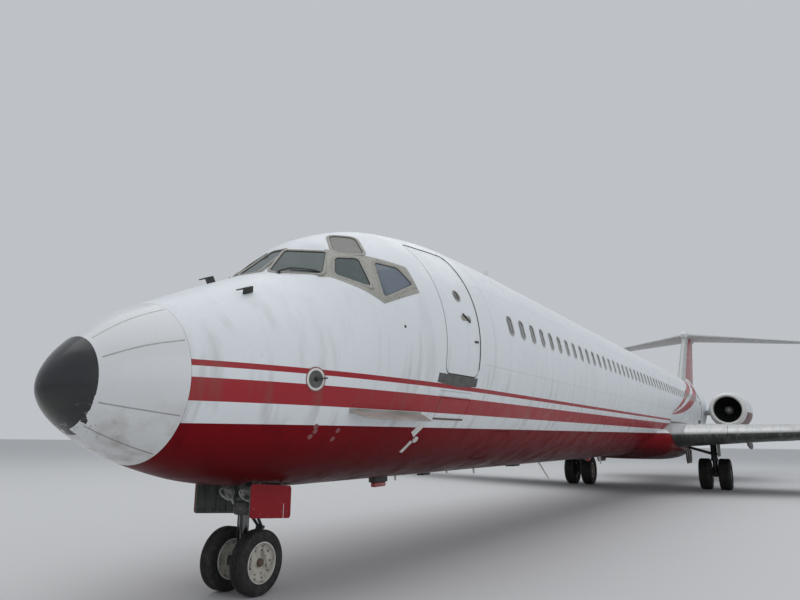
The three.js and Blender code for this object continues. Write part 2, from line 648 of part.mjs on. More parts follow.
function tail() {
  const SIDES_ROUND = 12;
  const bulletAt = (grow) => {
    const last = BULLET_TABLE.length - 1;
    const profile = BULLET_TABLE.map(([x, radius]) => [x, radius + grow]);
    const closed = [[profile[0][0] - grow, 0], ...profile, [profile[last][0] + grow, 0]];
    return turned(closed, [0, 0, TAILPLANE.height], SIDES_ROUND);
  };
  const planeAt = (grow) => {
    const halves = SIDES.map(([, sign]) => {
      const stationAt = (span) => {
        const station = tailStation(span, sign);
        return { ...station, thickness: station.thickness + (2 * grow) / station.chord };
      };
      const spans = [0, TAILPLANE.half - TIP.tailplane];
      return loft([...spans.map((span) => foilRing(stationAt(span))), tipRing(stationAt(TAILPLANE.half))]);
    });
    return halves[0].add(halves[1]);
  };
  let plane = planeAt(0).add(bulletAt(0));
  for (const [side, sign] of SIDES) {
    const [carrier, elevator] = fitSurface(plane, (span) => tailStation(span, sign), ELEVATOR);
    plane = carrier;
    add(`elevator_${side}`, elevator, FINISH.grey);
  }
  add("tailplane", plane, FINISH.grey);
  const fin = loft([FIN.low, FIN.high].map((height) => foilRing(finStation(height))));
  const [carrier, rudder] = fitSurface(fin, finStation, RUDDER);
  const seat = planeAt(2 * SEAT_GAP).add(bulletAt(SEAT_GAP));
  add("fin", carrier.subtract(HULL.grown).subtract(seat), FINISH.red);
  add("rudder", rudder, FINISH.red);
}

function engines() {
  const SIDES_ROUND = 28;
  const outer = (grow) => [
    [LIP_LENGTH, 0],
    ...NACELLE_TABLE.map(([x, radius]) => [x, radius + grow]),
    ...EXHAUST_TABLE.map(([x, radius]) => [x + grow, radius + grow]),
    [EXHAUST_TABLE.at(-1)[0] + grow, 0],
  ];
  const lastX = NACELLE_TABLE.at(-1)[0];
  const shell = [...NACELLE_TABLE, [lastX, ENGINE.duct], [LIP_LENGTH, ENGINE.duct]];
  const lipFront = LIP_LENGTH - SEAT_GAP;
  const lip = [[lipFront, ENGINE.duct], ...LIP_TABLE, [lipFront, NACELLE_TABLE[0][1]]];
  const exhaust = [...EXHAUST_TABLE, ...[...EXHAUST_BORE].reverse()].map(([x, r]) => [x + SEAT_GAP, r]);
  const coreRadius = ENGINE.duct - SEAT_GAP;
  const core = [[CORE.front, 0], [CORE.front, coreRadius], [CORE.rear, coreRadius], [CORE.rear, 0]];
  for (const [side, sign] of SIDES) {
    const centre = [ENGINE.nose, sign * ENGINE.side, ENGINE.height];
    const along = (x) => point(ENGINE.nose + x, sign * ENGINE.side, ENGINE.height);
    add(`intake_lip_${side}`, turned(lip, centre, SIDES_ROUND), FINISH.metal);
    add(`nacelle_${side}`, turned(shell, centre, SIDES_ROUND), FINISH.white);
    add(`exhaust_${side}`, turned(exhaust, centre, SIDES_ROUND), FINISH.metal);
    const [shaftFront, shaftRear] = [along(ENGINE.fanFace + PAST + OVERLAP), along(CORE.front + OVERLAP)];
    const shaft = bar(shaftFront, shaftRear, CORE.shaft, CORE.shaft, CORE.shaftSides);
    add(`engine_${side}`, turned(core, centre, SIDES_ROUND).add(shaft), FINISH.dark);
    add(`fan_${side}`, fan(centre, along), FINISH.dark);
    const plain = { sign, height: ENGINE.height, thickness: PYLON_THICKNESS, camber: 0, incidence: 0 };
    const rings = PYLON_TABLE.map(([span, nose, chord]) => foilRing({ ...plain, span, nose, chord }));
    const pylon = loft(rings).subtract(HULL.grown).subtract(turned(outer(SEAT_GAP), centre, SIDES_ROUND));
    add(`pylon_${side}`, pylon, FINISH.white);
  }
}

// Fan: a hub with its spinner, and blades set at an angle
function fan(centre, along) {
  const front = ENGINE.fanFace;
  const rear = front + FAN.length;
  const spinner = SPINNER_TABLE.map(([x, radius]) => [front + x, radius]);
  let wheel = turned([...spinner, [front, FAN.hub], [rear, FAN.hub], [rear, 0]], centre, 16);
  const root = FAN.hub - BLADE.sunk;
  const length = ENGINE.fanTip - root;
  for (let i = 0; i < FAN.blades; i++) {
    const geometry = new THREE.BoxGeometry(BLADE.chord, BLADE.thick, length);
    geometry.rotateZ(BLADE.twist).translate(0, 0, root + length / 2);
    geometry.rotateX((i / FAN.blades) * 2 * Math.PI).translate(...along(front + FAN.length / 2));
    wheel = wheel.add(solidOf(geometry));
  }
  const boreRadius = (CORE.shaft + SEAT_GAP) / Math.cos(Math.PI / CORE.shaftSides);
  const bore = bar(along(front + PAST), along(rear + OVERLAP), boreRadius, boreRadius, CORE.shaftSides);
  return wheel.subtract(bore);
}

// One tyre: sidewalls, shoulders and tread, with a flat facet on the ground
function tyre(wheel, centre) {
  const { radius, width, rim, sides } = wheel;
  const half = width / 2;
  const wall = radius - rim;
  const outline = [
    [-0.72 * half, rim],
    [-half, rim + 0.35 * wall],
    [-0.94 * half, radius - 0.22 * wall],
    [-0.62 * half, radius],
  ];
  const mirrored = outline.map(([y, r]) => [-y, r]).reverse();
  return turned(facetOut([...outline, ...mirrored], sides), centre, sides, "y", facetPhase(sides));
}

// Radii are to the middle of a facet, and a facet faces the ground
const facetOut = (profile, sides) => profile.map(([y, r]) => [y, r / Math.cos(Math.PI / sides)]);
const facetPhase = (sides) => Math.PI / sides + PARKED_TILT;

function rims(wheel, x, middle, z) {
  const RIM_SIDES = 16;
  const { side, width, rim, axle } = wheel;
  const [a, b, edge] = [0.36 * width, 0.2 * width, rim - SEAT_GAP];
  const outline = [[-a, 0], [-a, 0.34 * rim], [-b, 0.42 * rim], [-b, 0.74 * rim], [-a, edge]];
  const profile = [...outline, ...outline.map(([y, r]) => [-y, r]).reverse()];
  let pair = bar(point(x, middle - side, z), point(x, middle + side, z), axle, axle, 16);
  for (const sign of [-1, 1]) {
    pair = pair.add(turned(profile, [x, middle + sign * side, z], RIM_SIDES, "y"));
  }
  return pair;
}

// Hole that an axle turns in
function axleBore(wheel, x, middle, half, z) {
  const radius = (wheel.axle + SEAT_GAP) / Math.cos(Math.PI / 16);
  return bar(point(x, middle - half, z), point(x, middle + half, z), radius, radius, 16);
}

// Torque links behind a leg: two bars that meet at an apex
function torqueLinks(x, y, { top, bottom, bottomX, apexX, apexZ, radius }) {
  const LINK_SIDES = 8;
  const apex = point(x + apexX, y, apexZ);
  const upper = bar(point(x, y, top), apex, radius, radius, LINK_SIDES);
  return upper.add(bar(apex, point(x + bottomX, y, bottom), radius, radius, LINK_SIDES));
}

function noseGear() {
  const { x } = NOSE_WHEEL;
  const z = noseAxle;
  const collar = STEERING_COLLAR;
  const leg = NOSE_LEG;
  const up = (height) => point(x, 0, height);
  const casing = bar(up(collar.high + SEAT_GAP), up(NOSE_BAY.roof - SEAT_GAP), leg.casing);
  const head = (y) => point(NOSE_BRACE.headX, y, NOSE_BRACE.headZ);
  const brace = bar(up(NOSE_BRACE.foot), head(0), NOSE_BRACE.radius);
  const braceHead = bar(head(1 - NOSE_BAY.half), head(NOSE_BAY.half - 1), NOSE_BRACE.headRadius);
  const boreRadius = (leg.spigot + SEAT_GAP) / Math.cos(Math.PI / 16);
  const spigotBore = bar(up(collar.high - OVERLAP), up(leg.spigotTop + SEAT_GAP), boreRadius);
  add("nose_leg", casing.add(brace).add(braceHead).subtract(spigotBore), FINISH.gear);
  let strut = bar(up(z), up(leg.spigotTop), leg.spigot);
  strut = strut.add(bar(up(collar.low), up(collar.high), collar.radius));
  strut = strut.add(bar(point(x, -leg.hubHalf, z), point(x, leg.hubHalf, z), leg.hub));
  strut = strut.add(torqueLinks(x, 0, NOSE_LINKS));
  const light = TAXI_LIGHT;
  for (const sign of [-1, 1]) {
    const at = (dx, side) => point(x + dx, sign * side, light.height);
    const [armIn, armOut] = [at(light.armX, light.armIn), at(light.armX, light.side)];
    strut = strut.add(bar(armIn, armOut, light.armRadius, light.armRadius, 8));
    strut = strut.add(bar(at(light.front, light.side), at(light.back, light.side), light.radius));
  }
  const tow = TOW_BLOCK;
  strut = strut.add(block(tow.front, x, -tow.half, tow.half, tow.low, tow.high));
  strut = strut.subtract(axleBore(NOSE_WHEEL, x, 0, leg.hubHalf + PAST, z));
  add("nose_steering", strut, FINISH.gear);
  add("nose_wheels", rims(NOSE_WHEEL, x, 0, z), FINISH.hub);
  const door = NOSE_DOOR;
  for (const [side, sign] of SIDES) {
    add(`nose_tyre_${side}`, tyre(NOSE_WHEEL, [x, sign * NOSE_WHEEL.side, z]), FINISH.tyre);
    const inner = sign * (NOSE_BAY.half + door.gap);
    const outer = inner + sign * door.thick;
    const panel = block(NOSE_BAY.from, NOSE_BAY.to - door.short, inner, outer, door.low, door.high);
    add(`nose_door_${side}`, panel.subtract(HULL.grown), FINISH.red);
  }
}

function mainGear() {
  const { x } = MAIN_WHEEL;
  const z = mainAxle;
  const size = MAIN_LEG;
  const door = MAIN_DOOR;
  for (const [side, sign] of SIDES) {
    const y = sign * MAIN_TRACK;
    const up = (height) => point(x, y, height);
    let leg = bar(up(size.slideTop), up(MAIN_POCKET.roof - SEAT_GAP), size.casing);
    leg = leg.add(bar(up(z), up(size.slideTop + OVERLAP), size.slide));
    leg = leg.add(bar(point(x, y - size.hubHalf, z), point(x, y + size.hubHalf, z), size.hub));
    leg = leg.add(torqueLinks(x, y, MAIN_LINKS));
    const braceHead = point(x, sign * MAIN_BRACE.headSide, MAIN_BRACE.headZ);
    const brace = bar(up(MAIN_BRACE.foot), braceHead, MAIN_BRACE.radius, MAIN_BRACE.radius, 12);
    const filled = loft(FAIRING_TABLE.map((row) => fairingRing(row, SEAT_GAP)));
    leg = leg.add(brace.subtract(filled).subtract(HULL.grown));
    leg = leg.subtract(axleBore(MAIN_WHEEL, x, y, size.hubHalf + PAST, z));
    add(`main_leg_${side}`, leg, FINISH.gear);
    const seated = bar(up(door.low - PAST), up(door.high + PAST), size.casing + SEAT_GAP);
    const [near, far] = [door.off, door.off + door.thick].map((off) => y + sign * off);
    let panel = block(x - door.half, x + door.half, near, far, door.low, door.high);
    for (const height of door.posts) {
      panel = panel.add(bar(up(height), point(x, near + sign * OVERLAP, height), door.post, door.post, 12));
    }
    add(`main_door_${side}`, panel.subtract(seated), FINISH.grey);
    add(`main_wheels_${side}`, rims(MAIN_WHEEL, x, y, z), FINISH.hub);
    for (const [place, offset] of [["inner", -sign], ["outer", sign]]) {
      add(`main_tyre_${side}_${place}`, tyre(MAIN_WHEEL, [x, y + offset * MAIN_WHEEL.side, z]), FINISH.tyre);
    }
  }
}

fuselage();
wings();
tail();
engines();
noseGear();
mainGear();

// Stands the aircraft on its tyres, centred over its own box, as a 1:2 model
const group = new THREE.Group();
group.add(aircraft);
group.scale.setScalar(MODEL_SCALE);
aircraft.rotation.y = -PARKED_TILT;
const box = new THREE.Box3().setFromObject(group, true);
group.position.set(-(box.min.x + box.max.x) / 2, 0, -box.min.z);

export default group;
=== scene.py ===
import json
import math

import bmesh
import bpy
import numpy as np
from mathutils import Matrix, Vector


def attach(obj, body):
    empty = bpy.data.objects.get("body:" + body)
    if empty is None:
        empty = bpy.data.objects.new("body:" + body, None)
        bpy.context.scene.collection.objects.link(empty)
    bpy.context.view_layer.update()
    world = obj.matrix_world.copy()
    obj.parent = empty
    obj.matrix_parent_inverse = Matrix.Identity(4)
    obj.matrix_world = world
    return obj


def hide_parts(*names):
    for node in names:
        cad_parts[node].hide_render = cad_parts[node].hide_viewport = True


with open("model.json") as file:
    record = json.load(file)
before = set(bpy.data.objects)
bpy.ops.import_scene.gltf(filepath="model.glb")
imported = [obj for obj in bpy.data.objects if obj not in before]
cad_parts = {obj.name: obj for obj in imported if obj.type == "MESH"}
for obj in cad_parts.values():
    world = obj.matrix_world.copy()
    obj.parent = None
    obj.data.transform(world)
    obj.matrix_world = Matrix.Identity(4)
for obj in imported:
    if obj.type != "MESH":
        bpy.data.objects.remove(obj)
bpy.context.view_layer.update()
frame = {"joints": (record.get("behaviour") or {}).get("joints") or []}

# Parked attitude. Shapes below are in the real aircraft's metres: x aft from the nose tip, y to
# starboard, z up from the ground under the nose wheels, square to the cabin floor. This matrix
# sets them at half size, nose down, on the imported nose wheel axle.
steering = next(joint for joint in frame["joints"] if joint["name"] == "nose_steer")
nose_down = math.atan2(-steering["axis"][0], steering["axis"][2])
MODEL_SCALE = 0.5
NOSE_AXLE = Vector((2.42, 0, 0.33))
parked = (
    Matrix.Translation(steering["pos_m"])
    @ Matrix.Rotation(-nose_down, 4, "Y")
    @ Matrix.Scale(MODEL_SCALE, 4)
    @ Matrix.Translation(-NOSE_AXLE)
)

# Camera at the photograph's place, low on the port side of the nose, looking aft and up
CAMERA_PLACE = Vector((-2.963, -5.206, 1.641))
CAMERA_YAW = 0.543
CAMERA_PITCH = 0.209
CAMERA_ROLL = 0.007
LENS_SHARE = 641.15 / 800
camera_data = bpy.data.cameras.new("photo_camera")
camera = bpy.data.objects.new("photo_camera", camera_data)
bpy.context.scene.collection.objects.link(camera)
bpy.context.scene.camera = camera
camera_data.sensor_width = 36
camera_data.lens = LENS_SHARE * camera_data.sensor_width
camera_data.clip_start = 0.05
camera_data.clip_end = 600
look = Vector((
    math.cos(CAMERA_YAW) * math.cos(CAMERA_PITCH),
    math.sin(CAMERA_YAW) * math.cos(CAMERA_PITCH),
    math.sin(CAMERA_PITCH),
))
level_right = Vector((math.sin(CAMERA_YAW), -math.cos(CAMERA_YAW), 0))
level_up = level_right.cross(look)
picture_right = math.cos(CAMERA_ROLL) * level_right + math.sin(CAMERA_ROLL) * level_up
picture_up = math.cos(CAMERA_ROLL) * level_up - math.sin(CAMERA_ROLL) * level_right
turn = Matrix((picture_right, picture_up, -look)).transposed().to_4x4()
camera.matrix_world = (
    Matrix.Translation(parked @ CAMERA_PLACE) @ Matrix.Rotation(-nose_down, 4, "Y") @ turn
)

# Floor: one pale, even, matt sheet, with a world of the same tone behind it
FLOOR_HALF = 260
FLOOR_GREY = 0.62
floor_mesh = bpy.data.meshes.new("floor")
floor_corners = [(x * FLOOR_HALF, y * FLOOR_HALF, 0) for x, y in ((-1, -1), (1, -1), (1, 1), (-1, 1))]
floor_mesh.from_pydata(floor_corners, [], [(0, 1, 2, 3)])
floor_paint = bpy.data.materials.new("floor")
floor_paint.use_nodes = True
floor_shader = floor_paint.node_tree.nodes["Principled BSDF"]
floor_shader.inputs["Base Color"].default_value = (FLOOR_GREY, FLOOR_GREY, FLOOR_GREY, 1)
floor_shader.inputs["Roughness"].default_value = 0.9
floor_mesh.materials.append(floor_paint)
floor = bpy.data.objects.new("floor", floor_mesh)
bpy.context.scene.collection.objects.link(floor)

# Soft studio light: a bright pale world and two broad panels, above and on the port side
WORLD_LIGHT = 0.6
world = bpy.data.worlds.new("studio")
world.use_nodes = True
world.node_tree.nodes["Background"].inputs["Color"].default_value = (0.86, 0.9, 0.95, 1)
world.node_tree.nodes["Background"].inputs["Strength"].default_value = WORLD_LIGHT
bpy.context.scene.world = world
PANELS = [
    # name, place, target, width, height, watts
    ("panel_above", (-2, 2, 16), (-2, 0, 0), 34, 20, 1500),
    ("panel_port", (-14, -16, 7), (-4, 0, 1.5), 16, 10, 350),
]
for name, place, target, width, height, watts in PANELS:
    lamp = bpy.data.lights.new(name, "AREA")
    lamp.shape = "RECTANGLE"
    lamp.size = width
    lamp.size_y = height
    lamp.energy = watts
    panel = bpy.data.objects.new(name, lamp)
    panel.location = place
    panel.rotation_mode = "QUATERNION"
    panel.rotation_quaternion = (Vector(target) - Vector(place)).to_track_quat("-Z", "Y")
    bpy.context.scene.collection.objects.link(panel)
bpy.context.scene.view_settings.view_transform = "Standard"

# Fuselage. Thin alloy skins riveted over frames and stringers, made as five barrels that meet at
# ring splices. Painted white with plain red stripes, a red belly darkened with painted shade and
# grime that deepens towards the keel, and two red bands that sweep up to the fin. Where the cockpit
# panes sit, the skin is pressed flat.
HULL = [
    # station, half width, crown, belly, height of the widest line
    (0, 0.012, 2.042, 2.018, 2.030),
    (0.02, 0.09, 2.13, 1.93, 2.03),
    (0.08, 0.19, 2.24, 1.84, 2.04),
    (0.18, 0.31, 2.37, 1.74, 2.055),
    (0.3, 0.41, 2.487, 1.65, 2.069),
    (0.6, 0.62, 2.72, 1.48, 2.1),
    (0.98, 0.81, 2.9, 1.334, 2.117),
    (1.6, 1.04, 3.18, 1.175, 2.178),
    (2.3, 1.23, 3.49, 1.095, 2.293),
    (3.1, 1.4, 4.1, 1.066, 2.583),
    (4.2, 1.56, 4.47, 1.066, 2.79),
    (5.6, 1.645, 4.62, 1.066, 2.9),
    (7.5, 1.671, 4.639, 1.066, 2.968),
    (30.5, 1.671, 4.639, 1.066, 2.968),
    (32.5, 1.61, 4.639, 1.24, 3.02),
    (34.5, 1.44, 4.63, 1.69, 3.18),
    (36.5, 1.17, 4.58, 2.24, 3.4),
    (38.5, 0.84, 4.44, 2.79, 3.6),
    (40, 0.51, 4.24, 3.2, 3.71),
    (41, 0.23, 3.99, 3.52, 3.75),
    (41.3, 0.03, 3.79, 3.73, 3.76),
]
HULL_SIDES = 160


def hull_line(station, column):
    """Steady curve through one column of the hull's rows, taken in the square root of the station"""
    root = [math.sqrt(row[0]) for row in HULL]
    value = [row[column] for row in HULL]
    last = len(HULL) - 2
    i = min(sum(row[0] <= station for row in HULL) - 1, last)

    def rise(a):
        return (value[a + 1] - value[a]) / (root[a + 1] - root[a])

    def slope(a):
        if a in (0, last + 1):
            return rise(min(a, last))
        before, after = rise(a - 1), rise(a)
        return 0 if before * after <= 0 else 2 * before * after / (before + after)

    width = root[i + 1] - root[i]
    t = (math.sqrt(station) - root[i]) / width
    bend = (slope(i) * (1 - t) - slope(i + 1) * t) * t * (1 - t) * width
    return value[i] + (value[i + 1] - value[i]) * (3 - 2 * t) * t * t + bend


def turns(sides):
    """Angles of a full turn in even steps"""
    return [2 * math.pi * i / sides for i in range(sides)]


def hull_points(station, angles, grow=0.0):
    """Places on the hull's skin at one station; angle 0 starboard, a quarter turn the crown"""
    half, crown, belly, middle = (hull_line(station, column) for column in (1, 2, 3, 4))
    points = []
    for angle in angles:
        rise = crown - middle if math.sin(angle) > 0 else middle - belly
        across = (half + grow) * math.cos(angle)
        points.append(Vector((station, across, middle + (rise + grow) * math.sin(angle))))
    return points


def hull_ring(station, grow=0.0, sides=HULL_SIDES):
    return hull_points(station, turns(sides), grow)


def mesh_of(points, faces):
    """Mesh from points and faces, with its doubles merged and its faces pointing out"""
    mesh = bpy.data.meshes.new("shape")
    mesh.from_pydata([tuple(place) for place in points], [], faces)
    shape = bmesh.new()
    shape.from_mesh(mesh)
    bmesh.ops.remove_doubles(shape, verts=shape.verts, dist=1e-5)
    if shape.calc_volume(signed=True) < 0:
        bmesh.ops.reverse_faces(shape, faces=shape.faces)
    shape.to_mesh(mesh)
    shape.free()
    return mesh


def loft(rings, shut=True, ring_round=True):
    """Skin over rows of points; shut closes its ends, and otherwise its last row joins its first"""
    count = len(rings[0])
    rows = len(rings) if not shut else len(rings) - 1
    across = count if ring_round else count - 1
    faces = []
    for row in range(rows):
        a, b = row * count, (row + 1) % len(rings) * count
        faces += [(a + i, a + (i + 1) % count, b + (i + 1) % count, b + i) for i in range(across)]
    if shut:
        last = (len(rings) - 1) * count
        faces.append(tuple(range(count))[::-1])
        faces.append(tuple(range(last, last + count)))
    return mesh_of([place for ring in rings for place in ring], faces)


def joined(meshes):
    """Several meshes as one, with no cut between them"""
    whole = bmesh.new()
    for mesh in meshes:
        whole.from_mesh(mesh)
    result = bpy.data.meshes.new("shape")
    whole.to_mesh(result)
    whole.free()
    return result


def carve(mesh, tool, operation="DIFFERENCE"):
    """Cuts, joins or keeps the common part of two closed meshes"""
    holders = [bpy.data.objects.new(name, data) for name, data in (("carved", mesh), ("tool", tool))]
    for holder in holders:
        bpy.context.scene.collection.objects.link(holder)
    change = holders[0].modifiers.new("carve", "BOOLEAN")
    change.operation = operation
    change.solver = "MANIFOLD"
    change.object = holders[1]
    graph = bpy.context.evaluated_depsgraph_get()
    result = bpy.data.meshes.new_from_object(holders[0].evaluated_get(graph))
    for holder in holders:
        bpy.data.objects.remove(holder)
    return result


def fit(name, mesh, finish, body="airframe", stands_for=(), crease=32):
    """Sets a mesh in the parked aircraft as a piece with its finish and body, and hides the CAD nodes it
    stands for
    """
    mesh.transform(parked)
    mesh.materials.clear()
    mesh.materials.append(finish.material)
    count = len(mesh.polygons)
    mesh.polygons.foreach_set("material_index", [0] * count)
    mesh.polygons.foreach_set("use_smooth", [True] * count)
    mesh.set_sharp_from_angle(angle=math.radians(crease))
    piece = bpy.data.objects.new(name, mesh)
    bpy.context.scene.collection.objects.link(piece)
    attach(piece, body)
    if stands_for:
        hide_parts(*stands_for)
    return piece


class Value:
    """An output of a node. Arithmetic with it adds maths nodes; a | b is the larger of the two"""

    def __init__(self, finish, socket):
        self.finish = finish
        self.socket = socket

    def __add__(self, other):
        return self.finish.math("ADD", self, other)

    def __sub__(self, other):
        return self.finish.math("SUBTRACT", self, other)

    def __mul__(self, other):
        return self.finish.math("MULTIPLY", self, other)

    def __truediv__(self, other):
        return self.finish.math("DIVIDE", self, other)

    def __gt__(self, other):
        return self.finish.math("GREATER_THAN", self, other)

    def __lt__(self, other):
        return self.finish.math("LESS_THAN", self, other)

    def __or__(self, other):
        return self.finish.math("MAXIMUM", self, other)

    def __abs__(self):
        return self.finish.math("ABSOLUTE", self)


class Finish:
    """One material: a Principled shader, with short calls that add nodes in front of it"""

    def __init__(self, name, roughness, **sockets):
        self.material = bpy.data.materials.new(name)
        self.material.use_nodes = True
        self.tree = self.material.node_tree
        self.shader = self.tree.nodes["Principled BSDF"]
        self.set("Roughness", roughness)
        for socket, value in sockets.items():
            self.set(socket.replace("_", " "), value)
        self.place = self.add("ShaderNodeMapping", "Vector", {
            "Vector": self.add("ShaderNodeTexCoord", "Object"),
            "Location": parked.inverted().translation,
            "Rotation": (0, nose_down, 0),
            "Scale": [1 / MODEL_SCALE] * 3,
        })
        split = self.tree.nodes.new("ShaderNodeSeparateXYZ")
        self.feed(split.inputs[0], self.place)
        self.x, self.y, self.z = (Value(self, socket) for socket in split.outputs)

    def add(self, kind, output, inputs=None, **settings):
        """One output of a new node, whose inputs are fed by name or number"""
        node = self.tree.nodes.new(kind)
        for key, value in settings.items():
            setattr(node, key, value)
        for key, value in (inputs or {}).items():
            self.feed(node.inputs[key], value)
        return Value(self, node.outputs[output])

    def feed(self, socket, value):
        if isinstance(value, Value):
            self.tree.links.new(value.socket, socket)
        elif hasattr(value, "__len__") and len(value) == 3 and socket.type == "RGBA":
            socket.default_value = (*value, 1)
        else:
            socket.default_value = value

    def set(self, socket, value):
        self.feed(self.shader.inputs[socket], value)

    def math(self, operation, a, b=0.0, c=0.0):
        return self.add("ShaderNodeMath", "Value", {0: a, 1: b, 2: c}, operation=operation)

    def between(self, value, low, high):
        """1 where the value lies between two limits"""
        return (value > low) * (value < high)

    def fade(self, value, low, high, start=0.0, end=1.0):
        """Straight run from start at low to end at high, held beyond them"""
        wanted = {"Value": value, "From Min": low, "From Max": high, "To Min": start, "To Max": end}
        return self.add("ShaderNodeMapRange", "Result", wanted)

    def seam(self, value, pitch, width):
        """1 on thin lines that repeat at a pitch"""
        return self.math("PINGPONG", value, pitch / 2) < width

    def noise(self, scale, detail=3.0, stretch=(1, 1, 1), roughness=0.5):
        moved = self.add("ShaderNodeVectorMath", "Vector", {0: self.place, 1: stretch}, operation="MULTIPLY")
        wanted = {"Vector": moved, "Scale": scale, "Detail": detail, "Roughness": roughness}
        return self.add("ShaderNodeTexNoise", "Fac", wanted)

    def mix(self, share, first, second):
        return self.add("ShaderNodeMix", 2, {0: share, 6: first, 7: second}, data_type="RGBA")

    def bump(self, height, strength, depth=0.002):
        wanted = {"Height": height, "Strength": strength, "Distance": depth}
        self.set("Normal", self.add("ShaderNodeBump", "Normal", wanted))

    def mottle(self, first, second, *noise):
        """Base colour between two tones by noise"""
        self.set("Base Color", self.mix(self.noise(*noise), first, second))
        return self

    def dull(self, scale, detail, low, high, start, end):
        """Roughness between start and end by noise"""
        self.set("Roughness", self.fade(self.noise(scale, detail), low, high, start, end))


RED = (0.36, 0.022, 0.03)
WHITE = (0.8, 0.835, 0.86)
# Belly reds: the red darkened with painted shade and grime, and a deeper painted shade for the keel, which
# also tints the soil there
SHADED_BELLY_RED = (0.19, 0.006, 0.01)
KEEL_SHADE_AND_SOIL_RED = (0.06, 0.004, 0.006)
BAND_RED = (0.42, 0.07, 0.08)
THIN_RED = (0.1, 0.02, 0.025)
GRIME = (0.16, 0.13, 0.1)
STRIPES = [(2.235, 2.29), (1.93, 2.135)]
STRIPES_FROM = 0.89
STRIPES_TO = 21.6
BANDS = [(0.0, 0.3), (0.48, 0.72)]
BANDS_FROM = 21.6
SPLICE_PITCH = 3.4
LAP_SEAMS = (2.62, 3.78, 4.3)


def airframe_paint(name, white=WHITE, striped=True, streaks=0.5):
    """Gloss paint in white with the stripes, belly and bands, seams, faint waves, grime and streaks; the
    belly red carries painted shade, deepest at the keel
    """
    paint = Finish(name, 0.32, Specular_IOR_Level=0.3)
    tone = paint.mix(paint.noise(0.9, 4), white, [0.93 * part for part in white])
    if striped:
        ahead = (paint.x > STRIPES_FROM) * (paint.x < STRIPES_TO)
        for low, high in STRIPES:
            stripe = paint.between(paint.z, low, high) * ahead
            tone = paint.mix(stripe, tone, RED)
        thin = paint.math("MULTIPLY_ADD", paint.x, 0.004, 2.105)
        thin = paint.z - thin
        thin = paint.between(thin, -0.025, 0.025) * paint.between(paint.x, STRIPES_TO, 25.6)
        tone = paint.mix(thin, tone, THIN_RED)
        edge = paint.math("MULTIPLY_ADD", paint.x, 0.003, 1.735)
        belly = (paint.z < edge) * (paint.x > STRIPES_FROM)
        # Belly: red with painted shade that deepens downwards towards the keel
        tone = paint.mix(belly, tone, paint.mix(paint.fade(paint.z, 1.65, 1.1), SHADED_BELLY_RED, KEEL_SHADE_AND_SOIL_RED))
        paint.set("Specular IOR Level", paint.fade(belly, 0, 1, 0.3, 0.05))
        run = paint.x - 21
        curve = paint.math("MULTIPLY_ADD", paint.math("POWER", run, 2), 0.0165, 2.45)
        lean = paint.math("SQRT", paint.math("MULTIPLY_ADD", paint.math("POWER", run, 2), 0.00109, 1))
        off = (paint.z - curve) / lean
        off = off / paint.fade(paint.x, BANDS_FROM, 25.5, 0.12)
        swept = paint.x > BANDS_FROM
        for low, high in BANDS:
            band = paint.between(off, low, high) * swept
            tone = paint.mix(band, tone, BAND_RED)
    splices = paint.seam(paint.x - 2.2, SPLICE_PITCH, 0.004)
    laps = paint.between(paint.z, LAP_SEAMS[0], LAP_SEAMS[0] + 0.006)
    for height in LAP_SEAMS[1:]:
        laps = laps | paint.between(paint.z, height, height + 0.006)
    seams = (splices | laps) * (paint.x > 5.3)
    tone = paint.mix(seams * 0.35, tone, (0.2, 0.2, 0.2))
    runs = paint.noise(5, 5, (1.4, 0.6, 0.16))
    grime = paint.fade(runs, 0.52, 0.8) * paint.fade(paint.z, 3.4, 1.6, 0.1, 1)
    specks = paint.fade(paint.noise(38, 2, (1, 1, 0.4)), 0.7, 0.76)
    dirty = (grime | specks * 0.4) * streaks
    # Soil on the belly takes the keel's dark red, which carries painted shade
    soil = paint.mix(paint.z < 1.75, GRIME, KEEL_SHADE_AND_SOIL_RED) if striped else GRIME
    tone = paint.mix(dirty, tone, soil)
    paint.set("Base Color", tone)
    paint.dull(3, 4, 0.3, 0.75, 0.24, 0.48)
    wave = paint.noise(1.7, 2) + seams * -0.25
    paint.bump(wave, 0.35, 0.006)
    return paint


hull_paint = airframe_paint("hull_paint")

# Cockpit panes as corners of their clear part, port side: station, distance from centre, height
PORT_PANES = {
    "windshield": [(2.35, 0.246, 3.496), (2.72, 0.145, 3.816), (2.888, 0.63, 3.8), (2.597, 0.821, 3.418)],
    "side_window_front": [
        (2.87, 0.787, 3.683), (3.128, 0.937, 3.725), (3.034, 1.197, 3.325), (2.718, 0.909, 3.448)
    ],
    "side_window_rear": [
        (3.305, 1.053, 3.693), (3.634, 1.179, 3.69), (3.742, 1.334, 3.477), (3.18, 1.291, 3.228)
    ],
    "eyebrow_window": [
        (3.268, 0.368, 4.126), (3.542, 0.587, 4.157), (3.255, 0.939, 3.789), (2.942, 0.713, 3.79)
    ],
}
CENTRE_PANE = [(2.27, 0.145, 3.467), (2.27, -0.145, 3.467), (2.775, -0.11, 3.866), (2.775, 0.11, 3.866)]
PANE_CORNER = {
    "windshield": 0.05, "side_window_front": 0.06, "side_window_rear": 0.05, "eyebrow_window": 0.12
}
PANE_FRAME = {
    "windshield": 0.036, "side_window_front": 0.045, "side_window_rear": 0.05, "eyebrow_window": 0.04
}
SIDES = (("left", -1), ("right", 1))


